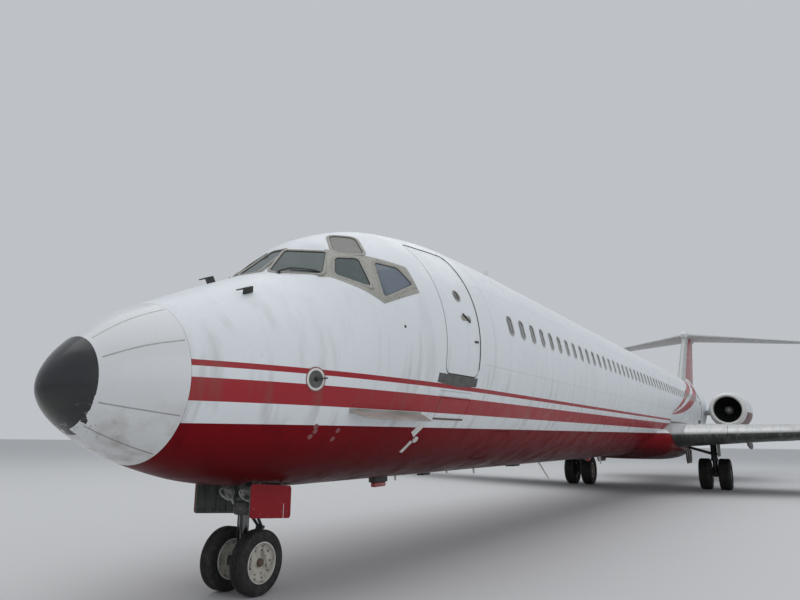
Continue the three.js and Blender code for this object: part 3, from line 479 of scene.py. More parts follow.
class Pane:
    """The flat that fits a pane's corners best, and its outline on that flat"""

    def __init__(self, name, kind, corners):
        self.name = name
        self.kind = kind
        corners = [Vector(corner) for corner in corners]
        self.centre = sum(corners, Vector()) / len(corners)
        arms = [corner - self.centre for corner in corners]
        normal = sum((arm.cross(arms[i - 1]) for i, arm in enumerate(arms)), Vector()).normalized()
        self.normal = normal if normal.z > 0 else -normal
        self.along = (arms[1] - arms[0]).normalized()
        self.along = (self.along - self.normal * self.along.dot(self.normal)).normalized()
        self.up = self.normal.cross(self.along)
        self.corners = [(arm.dot(self.along), arm.dot(self.up)) for arm in arms]
        if sum(
            a[0] * b[1] - a[1] * b[0] for a, b in zip(self.corners, self.corners[1:] + self.corners[:1])
        ) < 0:
            self.corners.reverse()
        self.frame = PANE_FRAME[kind]

    def outline(self, grow, height, steps=6):
        """Outline set out by grow, with round corners, at a height over the flat"""
        count = len(self.corners)
        moved = []
        for i, corner in enumerate(self.corners):
            before, after = self.corners[i - 1], self.corners[(i + 1) % count]
            here = Vector(corner)
            first = (here - Vector(before)).normalized()
            second = (Vector(after) - here).normalized()
            out = (Vector((first.y, -first.x)) + Vector((second.y, -second.x))).normalized()
            reach = grow / max(0.3, out.dot(Vector((first.y, -first.x))))
            moved.append(here + out * reach)
        radius = PANE_CORNER[self.kind] + grow
        points = []
        for i, corner in enumerate(moved):
            start = corner + (moved[i - 1] - corner).normalized() * radius
            end = corner + (moved[(i + 1) % count] - corner).normalized() * radius
            for step in range(steps + 1):
                t = step / steps
                points.append(start * (1 - t) ** 2 + corner * 2 * t * (1 - t) + end * t * t)
        return [self.centre + self.along * p.x + self.up * p.y + self.normal * height for p in points]

    def outside(self, points):
        """How far points lie outside the outline, measured on the flat, and their heights over it"""
        off = points - np.array(self.centre)
        height = off @ np.array(self.normal)
        flat = np.stack([off @ np.array(self.along), off @ np.array(self.up)], axis=1)
        away = np.full(len(points), 1e9)
        inside = np.ones(len(points), bool)
        for a, b in zip(self.corners, self.corners[1:] + self.corners[:1]):
            a, edge = np.array(a), np.array(b) - np.array(a)
            arm = flat - a
            share = np.clip(arm @ edge / (edge @ edge), 0, 1)
            away = np.minimum(away, np.linalg.norm(arm - share[:, None] * edge, axis=1))
            inside &= edge[0] * arm[:, 1] - edge[1] * arm[:, 0] >= 0
        return np.where(inside, 0, away), height


panes = [
    Pane(f"{kind}_{side}", kind, [(x, sign * y, z) for x, y, z in corners])
    for side, sign in SIDES
    for kind, corners in PORT_PANES.items()
]
panes.append(Pane("windshield_centre", "windshield", CENTRE_PANE))
PRESSED_MARGIN = 0.13
PANE_REACH = 0.25


def press_flat(mesh, lift=0.0):
    """Presses a nose skin down to each pane's flat, fading out round it"""
    places = np.empty(len(mesh.vertices) * 3)
    mesh.vertices.foreach_get("co", places)
    places = places.reshape(-1, 3)
    for pane in panes:
        away, height = pane.outside(places)
        share = 1 - np.clip((away - pane.frame) / PRESSED_MARGIN, 0, 1)
        share = share * share * (3 - 2 * share) * (np.abs(height) < PANE_REACH)
        drop = np.maximum(height - lift, 0) * share
        places = places - drop[:, None] * np.array(pane.normal)
    mesh.vertices.foreach_set("co", places.ravel())
    mesh.update()
    return mesh


def barrel(start, end, step, grow=0.0, sides=HULL_SIDES):
    """A length of the hull, with rings at most a step apart"""
    count = max(1, math.ceil((end - start) / step))
    return loft([hull_ring(start + (end - start) * i / count, grow, sides) for i in range(count + 1)])


def rounded(width, height, radius, steps=6):
    """Flat outline of a box with round corners, about its middle"""
    points = []
    for quarter, (x, y) in enumerate(((1, 1), (-1, 1), (-1, -1), (1, -1))):
        for step in range(steps + 1):
            angle = math.pi / 2 * (quarter + step / steps)
            corner = (x * (width / 2 - radius), y * (height / 2 - radius))
            points.append((corner[0] + radius * math.cos(angle), corner[1] + radius * math.sin(angle)))
    return points


def prism(outline, near, far, sign=1):
    """Block across the aircraft between two distances from its middle, from an outline of x and z"""
    return loft([[Vector((x, sign * y, z)) for x, z in outline] for y in (near, far)])


def placed(mesh, matrix):
    mesh.transform(matrix)
    return mesh


def side_prism(box, sign, grow=0.0, near=0.4, far=2.4):
    """Prism across the hull's side over a box given as front, width, sill, height and corner"""
    front, width, sill, height, corner = box
    outline = rounded(width + 2 * grow, height + 2 * grow, corner + grow)
    return prism([(front + width / 2 + x, sill + height / 2 + z) for x, z in outline], near, far, sign)


# Doors: side, front edge, width, sill, height and corner. Door gaps hold a rubber seal
DOORS = {
    "door_front_left": (-1, (4.25, 0.864, 2.43, 1.78, 0.11)),
    "door_front_right": (1, (4.56, 0.69, 2.43, 1.22, 0.11)),
    "door_aft_left": (-1, (29.1, 0.69, 2.43, 1.52, 0.11)),
}
DOOR_GAP = 0.016
DOOR_DEPTH = 0.05
# Flush hatches whose edge shows as a thin groove: side, then the box. Cargo doors are to starboard
HATCHES = [
    (1, (8.05, 1.35, 1.42, 1.27, 0.1)),
    (1, (16.3, 1.35, 1.42, 1.27, 0.1)),
    (1, (26.6, 1.35, 1.42, 1.27, 0.1)),
    (-1, (22.16, 0.51, 2.86, 0.91, 0.1)),
    (-1, (23.13, 0.51, 2.86, 0.91, 0.1)),
    (1, (22.16, 0.51, 2.86, 0.91, 0.1)),
    (1, (23.13, 0.51, 2.86, 0.91, 0.1)),
    (-1, (4.29, 0.8, 1.865, 0.255, 0.02)),
    (-1, (4.235, 0.82, 2.14, 0.066, 0.015)),
    (-1, (6.4, 0.6, 1.3, 0.42, 0.05)),
    (1, (6.1, 0.5, 1.55, 0.36, 0.05)),
    (-1, (11.9, 0.4, 1.42, 0.3, 0.05)),
    (-1, (31.6, 0.62, 2.05, 0.5, 0.06)),
    (1, (31.6, 0.62, 2.05, 0.5, 0.06)),
]
GROOVE_HALF = 0.005
GROOVE_DEPTH = 0.012

# Cabin windows: one row a side, at the frame pitch
WINDOW_FIRST = 6.3
WINDOW_PITCH = 0.4826
WINDOW_HEIGHT = 3.32
WINDOW_SIZE = (0.235, 0.33, 0.105)
WINDOW_COUNT = {-1: 47, 1: 50}
WINDOW_RECESS = 0.02


def skin_matrix(here, along, beside, inside, lift):
    """Place on a skin with x along it, z out of it and away from a point inside"""
    along = along.normalized()
    normal = along.cross(beside).normalized()
    if normal.dot(here - inside) < 0:
        normal = -normal
    turned = Matrix((along, normal.cross(along), normal)).transposed().to_4x4()
    return Matrix.Translation(here + normal * lift) @ turned


def skin_frame(station, angle, lift=0.0):
    """Place on the hull's skin with x along it, z out of it; angle in degrees, 0 starboard, 90 crown"""
    turned_by = math.radians(angle)
    here, over, under = hull_points(station, (turned_by, turned_by + 0.01, turned_by - 0.01))
    aft, ahead = (hull_points(station + step, (turned_by,))[0] for step in (0.01, -0.01))
    return skin_matrix(here, aft - ahead, over - under, Vector((station, 0, hull_line(station, 4))), lift)


def side_frame(station, height, sign, lift=0.0):
    """As skin_frame, by the height on one side"""
    crown, belly, middle = (hull_line(station, column) for column in (2, 3, 4))
    rise = crown - middle if height > middle else middle - belly
    angle = math.degrees(math.asin(max(-1, min(1, (height - middle) / rise))))
    return skin_frame(station, angle if sign > 0 else 180 - angle, lift)


def window_cutter(sign, index):
    frame_at = side_frame(WINDOW_FIRST + index * WINDOW_PITCH, WINDOW_HEIGHT, sign)
    width, height, corner = WINDOW_SIZE
    outline = rounded(width, height, corner, 4)
    return loft([[frame_at @ Vector((x, y, z)) for x, y in outline] for z in (-WINDOW_RECESS, 0.08)])


NOSE_BAY = (2.08, 2.72, 0.37, 1.72)
BARRELS = {
    "fuselage_nose": (0.8912, 5.6),
    "fuselage_forward": (5.6, 13.0),
    "fuselage_centre": (13.0, 20.9),
    "fuselage_aft": (20.9, 30.5),
    "fuselage_rear": (30.5, 39.4),
}
SPLICE_GAP = 0.0015
RING_STEP = {"fuselage_nose": 0.04, "fuselage_rear": 0.12}
for barrel_name, (start, end) in BARRELS.items():
    skin = barrel(start + SPLICE_GAP, end - SPLICE_GAP, RING_STEP.get(barrel_name, 0.2413))
    if barrel_name == "fuselage_nose":
        skin = press_flat(skin)
        for pane in panes:
            grown = pane.frame + 0.002
            skin = carve(skin, loft([pane.outline(grown, height) for height in (-0.06, 0.4)]))
        front, back, half, roof = NOSE_BAY
        corners = [(front, -half), (back, -half), (back, half), (front, half)]
        skin = carve(skin, loft([[Vector((x, y, z)) for x, y in corners] for z in (0.5, roof)]))
    for sign, box in DOORS.values():
        if start < box[0] < end:
            core = barrel(box[0] - 0.3, box[0] + box[1] + 0.3, 0.1, -DOOR_DEPTH)
            skin = carve(skin, carve(side_prism(box, sign, DOOR_GAP + 0.001), core))
    grooves = [(sign, box) for sign, box in HATCHES if start < box[0] < end]
    for sign, box in grooves:
        edge = carve(side_prism(box, sign, GROOVE_HALF), side_prism(box, sign, -GROOVE_HALF, 0.2, 2.6))
        core = barrel(box[0] - 0.3, box[0] + box[1] + 0.3, 0.1, -GROOVE_DEPTH)
        skin = carve(skin, carve(edge, core))
    cutters = [
        window_cutter(sign, index)
        for sign, count in WINDOW_COUNT.items()
        for index in range(count)
        if start < WINDOW_FIRST + index * WINDOW_PITCH < end
    ]
    if cutters:
        skin = carve(skin, joined(cutters))
    fit(barrel_name, skin, hull_paint, stands_for=["fuselage"], crease=28)

# Fuselage rear end: a riveted cone that closes the hull behind the tailplane, painted red
TAIL_CONE_FROM = 39.4015
tail_paint = airframe_paint("tail_cone_paint", RED, striped=False, streaks=0.35)
cone_stations = [TAIL_CONE_FROM + (41.3 - TAIL_CONE_FROM) * i / 30 for i in range(31)]
tail_cone = loft([hull_ring(station, 0, 96) for station in cone_stations])
fit("tail_cone_skin", tail_cone, tail_paint, stands_for=["tail_cone"])

# Radome: a shell of glass cloth and resin, hinged at its top edge, painted white with a worn black
# cap and thin metal lightning strips. Its underside is chipped and streaked.
RADOME_LENGTH = 0.8895
CAP_EDGE = 0.27


def radome_paint():
    paint = Finish("radome_paint", 0.28, Coat_Weight=0.3, Coat_Roughness=0.1)
    white = paint.mix(paint.noise(1.4, 4), (0.74, 0.75, 0.76), (0.66, 0.67, 0.68))
    low = paint.fade(paint.z, 2.0, 1.62)
    chips = paint.fade(paint.noise(16, 4, (1, 1, 0.5), 0.7), 0.6, 0.66)
    chips = chips * low
    near_cap = paint.fade(paint.x, 0.62, 0.3)
    white = paint.mix(chips * near_cap, white, (0.05, 0.045, 0.04))
    scuff = paint.fade(paint.noise(5, 5), 0.46, 0.74) * low
    white = paint.mix(scuff * 0.7, white, (0.36, 0.33, 0.28))
    dents = paint.fade(paint.noise(9, 3), 0.45, 0.6) * 0.06
    lean = paint.fade(paint.z, 1.95, 1.6) * -0.07
    edge = paint.x + (dents + lean) * low
    cap = edge < CAP_EDGE
    worn = paint.fade(paint.noise(24, 4, (0.5, 0.5, 1.5)), 0.62, 0.68)
    worn = worn * (low * paint.fade(paint.x, 0.12, 0.26))
    black = paint.mix(worn, (0.012, 0.013, 0.016), (0.32, 0.32, 0.3))
    green = paint.fade(paint.z, 1.98, 1.7, 0, 0.5)
    black = paint.mix(green * paint.fade(paint.x, 0.16, 0.02), black, (0.1, 0.11, 0.05))
    paint.set("Base Color", paint.mix(cap, white, black))
    rough = paint.fade(paint.noise(4, 3), 0.3, 0.7, 0.22, 0.4)
    paint.set("Roughness", rough + chips * 0.3)
    paint.bump(paint.noise(2, 3) - chips * 0.5, 0.3, 0.004)
    return paint


radome_stations = [RADOME_LENGTH * (i / 48) ** 2 for i in range(49)]
radome = loft([hull_ring(max(station, 1e-5)) for station in radome_stations])
fit("radome_shell", radome, radome_paint(), stands_for=["radome"])

strip_metal = Finish("strip_metal", 0.35, Metallic=0.9)
strip_metal.mottle((0.5, 0.5, 0.48), (0.3, 0.3, 0.3), 20)
STRIP_ANGLES = (28, 62, 118, 152, 205, 240, 300, 335)
STRIP_HALF = 0.005
STRIP_RISE = 0.002
strips = []
for angle in STRIP_ANGLES:
    rings = []
    for i in range(19):
        place = skin_frame(0.3 + (0.87 - 0.3) * i / 18, angle)
        section = (
            (-STRIP_HALF, -0.003), (STRIP_HALF, -0.003), (STRIP_HALF, STRIP_RISE), (-STRIP_HALF, STRIP_RISE)
        )
        rings.append([place @ Vector((0, y, z)) for y, z in section])
    strips.append(loft(rings))
fit("radome_strips", joined(strips), strip_metal)

# Cockpit panes: glass and acrylic plies, each held in a metal frame by a row of screws. The small
# upper panes are blanked with painted plates.
glass = Finish("cockpit_glass", 0.05, Coat_Weight=0.15, Coat_Roughness=0.03, Specular_IOR_Level=0.3)
haze = glass.fade(glass.noise(6, 5), 0.45, 0.8, 0, 0.35)
# Dark tint on the front panes, and a lighter blue grey painted reflection on the rear side panes
tint_and_painted_reflection = glass.mix(glass.fade(glass.x, 3.12, 3.3), (0.035, 0.06, 0.06), (0.15, 0.18, 0.22))
glass.set("Base Color", glass.mix(haze, tint_and_painted_reflection, (0.12, 0.13, 0.135)))
glass.dull(14, 4, 0.4, 0.75, 0.03, 0.12)
frame_paint = Finish("window_frame_paint", 0.5, Metallic=0.15)
frame_tone = frame_paint.mix(frame_paint.noise(9, 5), (0.42, 0.41, 0.37), (0.3, 0.29, 0.26))
frame_wear = frame_paint.fade(frame_paint.noise(42, 4), 0.6, 0.68)
frame_paint.set("Base Color", frame_paint.mix(frame_wear, frame_tone, (0.17, 0.16, 0.14)))
frame_paint.bump(frame_paint.noise(60, 3), 0.25, 0.001)
blank_paint = Finish("blank_pane_paint", 0.55)
blank_paint.mottle((0.25, 0.24, 0.225), (0.17, 0.16, 0.15), 14, 5)
rubber = Finish("seal_rubber", 0.75).mottle((0.02, 0.02, 0.02), (0.05, 0.048, 0.045), 30, 4)
rubber.bump(rubber.noise(90, 2), 0.3, 0.001)
PANE_THICKNESS = 0.05
for pane in panes:
    wide = pane.frame
    section = [
        (wide, -PANE_THICKNESS), (wide, 0.002), (wide - 0.004, 0.006), (0.008, 0.006), (0.003, 0.002),
        (0.003, -PANE_THICKNESS),
    ]
    frame_mesh = loft([pane.outline(grow, height) for grow, height in section], shut=False)
    fit(f"{pane.name}_frame", frame_mesh, frame_paint, crease=25)
    lip = [(0.004, -PANE_THICKNESS), (0.004, -0.001), (-0.006, -0.004), (-0.006, -PANE_THICKNESS)]
    seal = loft([pane.outline(grow, height) for grow, height in lip], shut=False)
    fit(f"{pane.name}_seal", seal, rubber)
    clear = [(0, -PANE_THICKNESS), (0, -0.012), (-0.006, -0.007)]
    blanked = pane.kind == "eyebrow_window"
    pane_mesh = loft([pane.outline(grow, height) for grow, height in clear])
    finish = blank_paint if blanked else glass
    fit(f"{pane.name}_pane", pane_mesh, finish, stands_for=[pane.name], crease=20)

# Window surround: primed doubler plates round the side panes and over the post behind the windshield
SURROUND = [
    (2.56, 0.78, 3.37), (2.66, 0.88, 3.38), (3.142, 1.316, 3.13), (3.82, 1.39, 3.38), (3.8, 1.2, 3.73),
    (3.29, 0.965, 3.785), (3.0, 0.72, 3.8), (2.92, 0.6, 3.84),
]
SURROUND_RISE = 0.003
for side, sign in SIDES:
    corners = [Vector((x, sign * y, z)) for x, y, z in SURROUND]
    middle = sum(corners, Vector()) / len(corners)
    outward = Vector((-0.35, sign * 0.85, 0.4)).normalized()
    plate = press_flat(barrel(2.3, 4.1, 0.04, SURROUND_RISE), SURROUND_RISE)
    near = loft([[corner + outward * reach for corner in corners] for reach in (-0.25, 0.3)])
    plate = carve(plate, near, "INTERSECT")
    inside = press_flat(barrel(2.2, 4.2, 0.04, -0.01), -0.01)
    plate = carve(plate, inside)
    for pane in panes:
        plate = carve(plate, loft([pane.outline(pane.frame, height) for height in (-0.08, 0.4)]))
    fit(f"window_surround_{side}", plate, frame_paint)


def scatter(name, finish, unit, places):
    """Sets a small mesh at each place by Geometry Nodes, as one plain mesh; places are matrices"""
    points = bpy.data.meshes.new(name)
    points.from_pydata([tuple(place.translation) for place in places], [], [])
    turned = points.attributes.new("turn", "QUATERNION", "POINT")
    for item, place in zip(turned.data, places):
        item.value = place.to_quaternion()
    holder = bpy.data.objects.new(name, points)
    small = bpy.data.objects.new("unit", unit)
    for each in (holder, small):
        bpy.context.scene.collection.objects.link(each)
    tree = bpy.data.node_groups.new(f"{name}_rows", "GeometryNodeTree")
    tree.interface.new_socket("Geometry", in_out="INPUT", socket_type="NodeSocketGeometry")
    part = tree.interface.new_socket("Part", in_out="INPUT", socket_type="NodeSocketObject")
    size = tree.interface.new_socket("Size", in_out="INPUT", socket_type="NodeSocketFloat")
    paint = tree.interface.new_socket("Finish", in_out="INPUT", socket_type="NodeSocketMaterial")
    tree.interface.new_socket("Geometry", in_out="OUTPUT", socket_type="NodeSocketGeometry")
    given = tree.nodes.new("NodeGroupInput")
    result = tree.nodes.new("NodeGroupOutput")
    fetch = tree.nodes.new("GeometryNodeObjectInfo")
    way = tree.nodes.new("GeometryNodeInputNamedAttribute")
    way.data_type = "QUATERNION"
    way.inputs["Name"].default_value = "turn"
    place_all = tree.nodes.new("GeometryNodeInstanceOnPoints")
    realize = tree.nodes.new("GeometryNodeRealizeInstances")
    colour = tree.nodes.new("GeometryNodeSetMaterial")
    for source, target in (
        (given.outputs["Geometry"], place_all.inputs["Points"]),
        (given.outputs["Part"], fetch.inputs["Object"]),
        (fetch.outputs["Geometry"], place_all.inputs["Instance"]),
        (way.outputs["Attribute"], place_all.inputs["Rotation"]),
        (given.outputs["Size"], place_all.inputs["Scale"]),
        (place_all.outputs["Instances"], realize.inputs["Geometry"]),
        (realize.outputs["Geometry"], colour.inputs["Geometry"]),
        (given.outputs["Finish"], colour.inputs["Material"]),
        (colour.outputs["Geometry"], result.inputs["Geometry"]),
    ):
        tree.links.new(source, target)
    rows = holder.modifiers.new("rows", "NODES")
    rows.node_group = tree
    rows[part.identifier] = small
    rows[size.identifier] = 1.0
    rows[paint.identifier] = finish.material
    graph = bpy.context.evaluated_depsgraph_get()
    mesh = bpy.data.meshes.new_from_object(holder.evaluated_get(graph))
    holder.modifiers.clear()
    for each in (holder, small):
        bpy.data.objects.remove(each)
    return mesh


AXES = {"X": ((0, 1, 0), (0, 0, 1)), "Y": ((0, 0, 1), (1, 0, 0)), "Z": ((1, 0, 0), (0, 1, 0))}


def turned_about(rows, centre, axis, sides=48, ring=False):
    """Shape turned about a line along one axis from rows of distance along it and radius"""
    first, second = (Vector(way) for way in AXES[axis])
    along = first.cross(second)
    rings = []
    for distance, radius in rows:
        middle = Vector(centre) + along * distance
        reach = max(radius, 1e-4)
        rings.append([middle + (first * math.cos(a) + second * math.sin(a)) * reach for a in turns(sides)])
    return loft(rings, shut=not ring)


def turned_shape(profile, sides=16, ring=False):
    """Shape turned about z from its profile of radius and height, from its foot to its top"""
    return turned_about([(height, radius) for radius, height in profile], (0, 0, 0), "Z", sides, ring)


# Screws: flat heads along the middle of each pane frame
SCREW_PITCH = 0.045
SCREW = [(0.0075, -0.002), (0.0075, 0.0005), (0.006, 0.0016), (0.003, 0.0018)]


def frames_along(line, pitch, normal_at):
    """Places at a pitch along a closed row of points"""
    places = []
    spare = 0.0
    for a, b in zip(line, line[1:] + line[:1]):
        length = (b - a).length
        while spare < length and length > 0:
            here = a.lerp(b, spare / length)
            up = normal_at(here)
            places.append(Matrix.Translation(here) @ up.to_track_quat("Z", "Y").to_matrix().to_4x4())
            spare += pitch
        spare -= length
    return places


screw_places = []
for pane in panes:
    line = pane.outline(pane.frame * 0.55, 0.006)
    screw_places += frames_along(line, SCREW_PITCH, lambda here, pane=pane: pane.normal)
screw_metal = Finish("screw_metal", 0.35, Metallic=0.8)
screw_metal.mottle((0.35, 0.34, 0.31), (0.16, 0.155, 0.14), 50)
screws = scatter("window_screws", screw_metal, turned_shape(SCREW, 8), screw_places)
fit("window_screws", screws, screw_metal)


def tube(points, radius, sides=10, bend=6):
    """Round bar along a smooth curve through some points; radius may be one for each point"""
    points = [Vector(place) for place in points]
    radii = list(radius) if hasattr(radius, "__len__") else [radius] * len(points)
    line, sizes = [], []
    for i in range(len(points) - 1):
        before = points[max(i - 1, 0)]
        after = points[min(i + 2, len(points) - 1)]
        steps = bend if len(points) > 2 else 1
        for step in range(steps):
            t = step / steps
            a, b = points[i], points[i + 1]
            first, second = (b - before) / 2, (after - a) / 2
            h = (3 - 2 * t) * t * t
            line.append(a + (b - a) * h + (first * (1 - t) - second * t) * t * (1 - t))
            sizes.append(radii[i] + (radii[i + 1] - radii[i]) * t)
    line.append(points[-1])
    sizes.append(radii[-1])
    rings = []
    across = (line[1] - line[0]).orthogonal().normalized()
    for i, place in enumerate(line):
        along = (line[min(i + 1, len(line) - 1)] - line[max(i - 1, 0)]).normalized()
        across = (across - along * across.dot(along)).normalized()
        other = along.cross(across)
        angles = turns(sides)
        rings.append([place + (across * math.cos(a) + other * math.sin(a)) * sizes[i] for a in angles])
    return loft(rings)


def crossbar(middle, half, radius, sides):
    """Round bar across the aircraft through its middle"""
    reach = Vector((0, half, 0))
    return tube([Vector(middle) - reach, Vector(middle) + reach], radius, sides)


def box_shape(size, bevel=0.0, place=None):
    """Block about its middle with rounded edges, set by a matrix or at a place"""
    shape = bmesh.new()
    bmesh.ops.create_cube(shape, size=1)
    bmesh.ops.scale(shape, vec=size, verts=shape.verts)
    if bevel:
        bmesh.ops.bevel(shape, geom=shape.edges[:], offset=bevel, segments=2, affect="EDGES", profile=0.5)
    mesh = bpy.data.meshes.new("shape")
    shape.to_mesh(mesh)
    shape.free()
    if place is not None:
        mesh.transform(place if isinstance(place, Matrix) else Matrix.Translation(place))
    return mesh


# Wipers: a spindle at the foot of each front pane, a sprung arm and a rubber blade, parked low
black_parts = Finish("black_paint", 0.45)
black_parts.mottle((0.016, 0.016, 0.017), (0.04, 0.038, 0.036), 20, 4)
black_parts.bump(black_parts.noise(50, 3), 0.2, 0.001)
for side, sign in SIDES:
    pane = next(pane for pane in panes if pane.name == f"windshield_{side}")
    corners = [Vector((x, sign * y, z)) for x, y, z in PORT_PANES["windshield"]]
    low_inner, low_outer, high_outer = corners[0], corners[3], corners[2]
    reach = low_outer - low_inner
    down = (low_outer - high_outer).normalized()
    lift = pane.normal
    spindle = low_inner + reach * 0.2 + down * 0.05
    tip = low_inner + reach * 0.9 - down * 0.045 + lift * 0.022
    elbow = low_inner + reach * 0.45 - down * 0.035 + lift * 0.03
    arm = [
        tube([spindle - lift * 0.03, spindle + lift * 0.03], 0.016, 12),
        tube([spindle + lift * 0.026, elbow, tip], (0.011, 0.008, 0.005), 8),
        tube(
            [low_inner + reach * 0.4 - down * 0.028 + lift * 0.008, tip - lift * 0.012 + reach * 0.06],
            0.007, 6,
        ),
        tube([spindle + lift * 0.01, spindle - reach * 0.07 + lift * 0.008], 0.006, 8),
    ]
    fit(f"wiper_{side}", joined(arm), black_parts)

# Cabin windows: an oval of stretched acrylic behind a light alloy ring, at every frame bay
WINDOW_RING = [
    (0.0, -0.018), (0.0, 0.0015), (-0.004, 0.003), (-0.013, 0.0022), (-0.018, -0.004), (-0.018, -0.018)
]
width, height, corner = WINDOW_SIZE


def window_outline(grow, z):
    return [Vector((x, y, z)) for x, y in rounded(width + 2 * grow, height + 2 * grow, corner + grow, 5)]


ring_unit = loft([window_outline(grow, z) for grow, z in WINDOW_RING], shut=False)
pane_unit = loft(
    [window_outline(-0.016, -0.019), window_outline(-0.016, -0.012), window_outline(-0.026, -0.009)]
)
window_glass = Finish("cabin_glass", 0.06, Coat_Weight=1.0, Coat_Roughness=0.03)
shade = window_glass.math("PINGPONG", window_glass.x - WINDOW_FIRST, WINDOW_PITCH / 2)
# Painted shade: each window is darker towards its top and lighter low down
depth = window_glass.fade(window_glass.z, 3.18, 3.46)
window_glass.set("Base Color", window_glass.mix(depth, (0.05, 0.05, 0.048), (0.016, 0.017, 0.019)))
window_glass.set("Roughness", window_glass.fade(shade, 0, 0.12, 0.05, 0.12))
ring_metal = Finish("window_ring_metal", 0.38, Metallic=0.7)
ring_metal.mottle((0.62, 0.62, 0.6), (0.42, 0.42, 0.4), 12)
for side, sign in SIDES:
    stations = [WINDOW_FIRST + i * WINDOW_PITCH for i in range(WINDOW_COUNT[sign])]
    places = [side_frame(station, WINDOW_HEIGHT, sign) for station in stations]
    rings = scatter(f"cabin_window_rings_{side}", ring_metal, ring_unit, places)
    fit(f"cabin_window_rings_{side}", rings, ring_metal)
    clears = scatter(f"cabin_windows_{side}", window_glass, pane_unit, places)
    fit(f"cabin_windows_{side}", clears, window_glass)

# Cabin doors: plug doors of pressed alloy with a rubber seal, a round or oval window and a handle
# set in the skin. A worn dark plate guards the sill.
for name, (sign, box) in DOORS.items():
    front, width, sill, height, corner = box
    step = 0.04 if front < 6 else 0.2413
    span = (front - 0.4, front + width + 0.4)
    core = barrel(span[0] - 0.1, span[1] + 0.1, step, -DOOR_DEPTH + 0.004)
    panel = carve(carve(barrel(*span, step), side_prism(box, sign), "INTERSECT"), core)
    middle = side_frame(front + width / 2 + 0.01, 3.5, sign)
    panel = carve(panel, placed(turned_shape([(0.085, -0.02), (0.085, 0.1)], 24), middle))
    fit(f"{name}_skin", panel, hull_paint, stands_for=[name], crease=28)
    ring = carve(side_prism(box, sign, DOOR_GAP), side_prism(box, sign, 0.001, 0.2, 2.6))
    ring = carve(carve(ring, barrel(*span, step, -0.007), "INTERSECT"), core)
    fit(f"{name}_seal", ring, rubber, crease=28)
    rim = [
        (0.09, -0.002), (0.09, 0.002), (0.085, 0.005), (0.07, 0.004), (0.066, -0.004), (0.066, -0.02),
        (0.09, -0.02),
    ]
    fit(f"{name}_window_rim", placed(turned_shape(rim, 32, ring=True), middle), frame_paint)
    lens = turned_shape([(0.067, -0.02), (0.067, -0.01), (0.06, -0.008)], 32)
    fit(f"{name}_window", placed(lens, middle), window_glass)
    grip = side_frame(front + width * 0.62, 3.2, sign)
    cup = rounded(0.26, 0.075, 0.03, 4)
    cup_rows = ((1, -0.012), (1, 0.002), (0.96, 0.004))
    bowl = loft([[grip @ Vector((x * s, y * s, z)) for x, y in cup] for s, z in cup_rows])
    fit(f"{name}_handle_cup", bowl, frame_paint)
    grip = grip @ Matrix.Rotation(sign * 0.6, 4, "Z") @ Matrix.Translation((0, 0, 0.012))
    fit(f"{name}_handle", box_shape((0.2, 0.026, 0.014), 0.005, grip), black_parts)
    top, rear = sill + height - 0.004, front + width + 0.006
    edge_line = [side_frame(front + 0.1 + (width - 0.16) * i / 6, top, sign).translation for i in range(7)]
    edge_line += [
        side_frame(rear, top - 0.06 - (height - 0.16) * i / 10, sign).translation for i in range(11)
    ]
    fit(f"{name}_edge_line", tube(edge_line, 0.009, 8), rubber)
    latch = box_shape((0.11, 0.03, 0.01), 0.004, side_frame(front + width * 0.88, 2.9, sign, 0.004))
    fit(f"{name}_latch", latch, black_parts)

scuff_plate = Finish("sill_plate", 0.55, Metallic=0.5)
plate_tone = scuff_plate.mix(scuff_plate.noise(14, 5), (0.055, 0.055, 0.055), (0.2, 0.2, 0.19))
scuff_plate.set("Base Color", plate_tone)
scuff_plate.bump(scuff_plate.noise(26, 4), 0.4, 0.003)
SILL_PLATES = {"front_left": (-1, 4.11, 5.13), "front_right": (1, 4.46, 5.35), "aft_left": (-1, 29.0, 29.9)}
for name, (sign, start, end) in SILL_PLATES.items():
    rings = []
    for i in range(21):
        station = start + (end - start) * i / 20
        top, low = 2.415, 2.27 + 0.03 * abs(i - 10) / 10
        row = [side_frame(station, top + (low - top) * k / 6, sign, 0.003) for k in range(7)]
        outer = [place.translation for place in row]
        inner = [place @ Vector((0, 0, -0.008)) for place in row]
        rings.append(outer + inner[::-1])
    fit(f"sill_plate_{name}", loft(rings), scuff_plate)

# Nose strakes: a flat grey alloy plate low on each side of the nose, square to the skin, with a round
# front, a bright worn rear edge and a riveted foot
strake_grey = Finish("strake_grey", 0.45, Metallic=0.3)
strake_tone = strake_grey.mix(
    strake_grey.fade(strake_grey.noise(6, 5, (0.4, 1, 2)), 0.35, 0.7), (0.52, 0.53, 0.5), (0.34, 0.34, 0.31)
)
strake_grey.set("Base Color", strake_grey.mix(strake_grey.x > 3.975, strake_tone, (0.85, 0.85, 0.83)))
STRAKE = [
    (2.64, 0.02), (2.65, 0.08), (2.67, 0.13), (2.7, 0.17), (2.75, 0.195), (2.9, 0.21), (3.3, 0.195),
    (3.7, 0.18), (4.0, 0.17),
]
STRAKE_LEVEL = 1.9
for side, sign in SIDES:
    rings, rivets = [], []
    for station, reach in STRAKE:
        place = side_frame(station, STRAKE_LEVEL, sign)
        section = (
            (-0.03, -0.006), (0.03, -0.006), (0.03, 0.003), (0.011, 0.005), (0.007, reach), (-0.007, reach),
            (-0.011, 0.005), (-0.03, 0.003),
        )
        rings.append([place @ Vector((0, y, z)) for y, z in section])
    for i in range(26):
        place = side_frame(2.7 + 0.05 * i, STRAKE_LEVEL, sign)
        rivets += [place @ Matrix.Translation((0, y, 0.003)) for y in (-0.021, 0.021)]
    fit(f"strake_{side}", loft(rings), strake_grey)
    fit(
        f"strake_rivets_{side}", scatter("strake_rivets", screw_metal, turned_shape(SCREW, 6), rivets),
        screw_metal,
    )

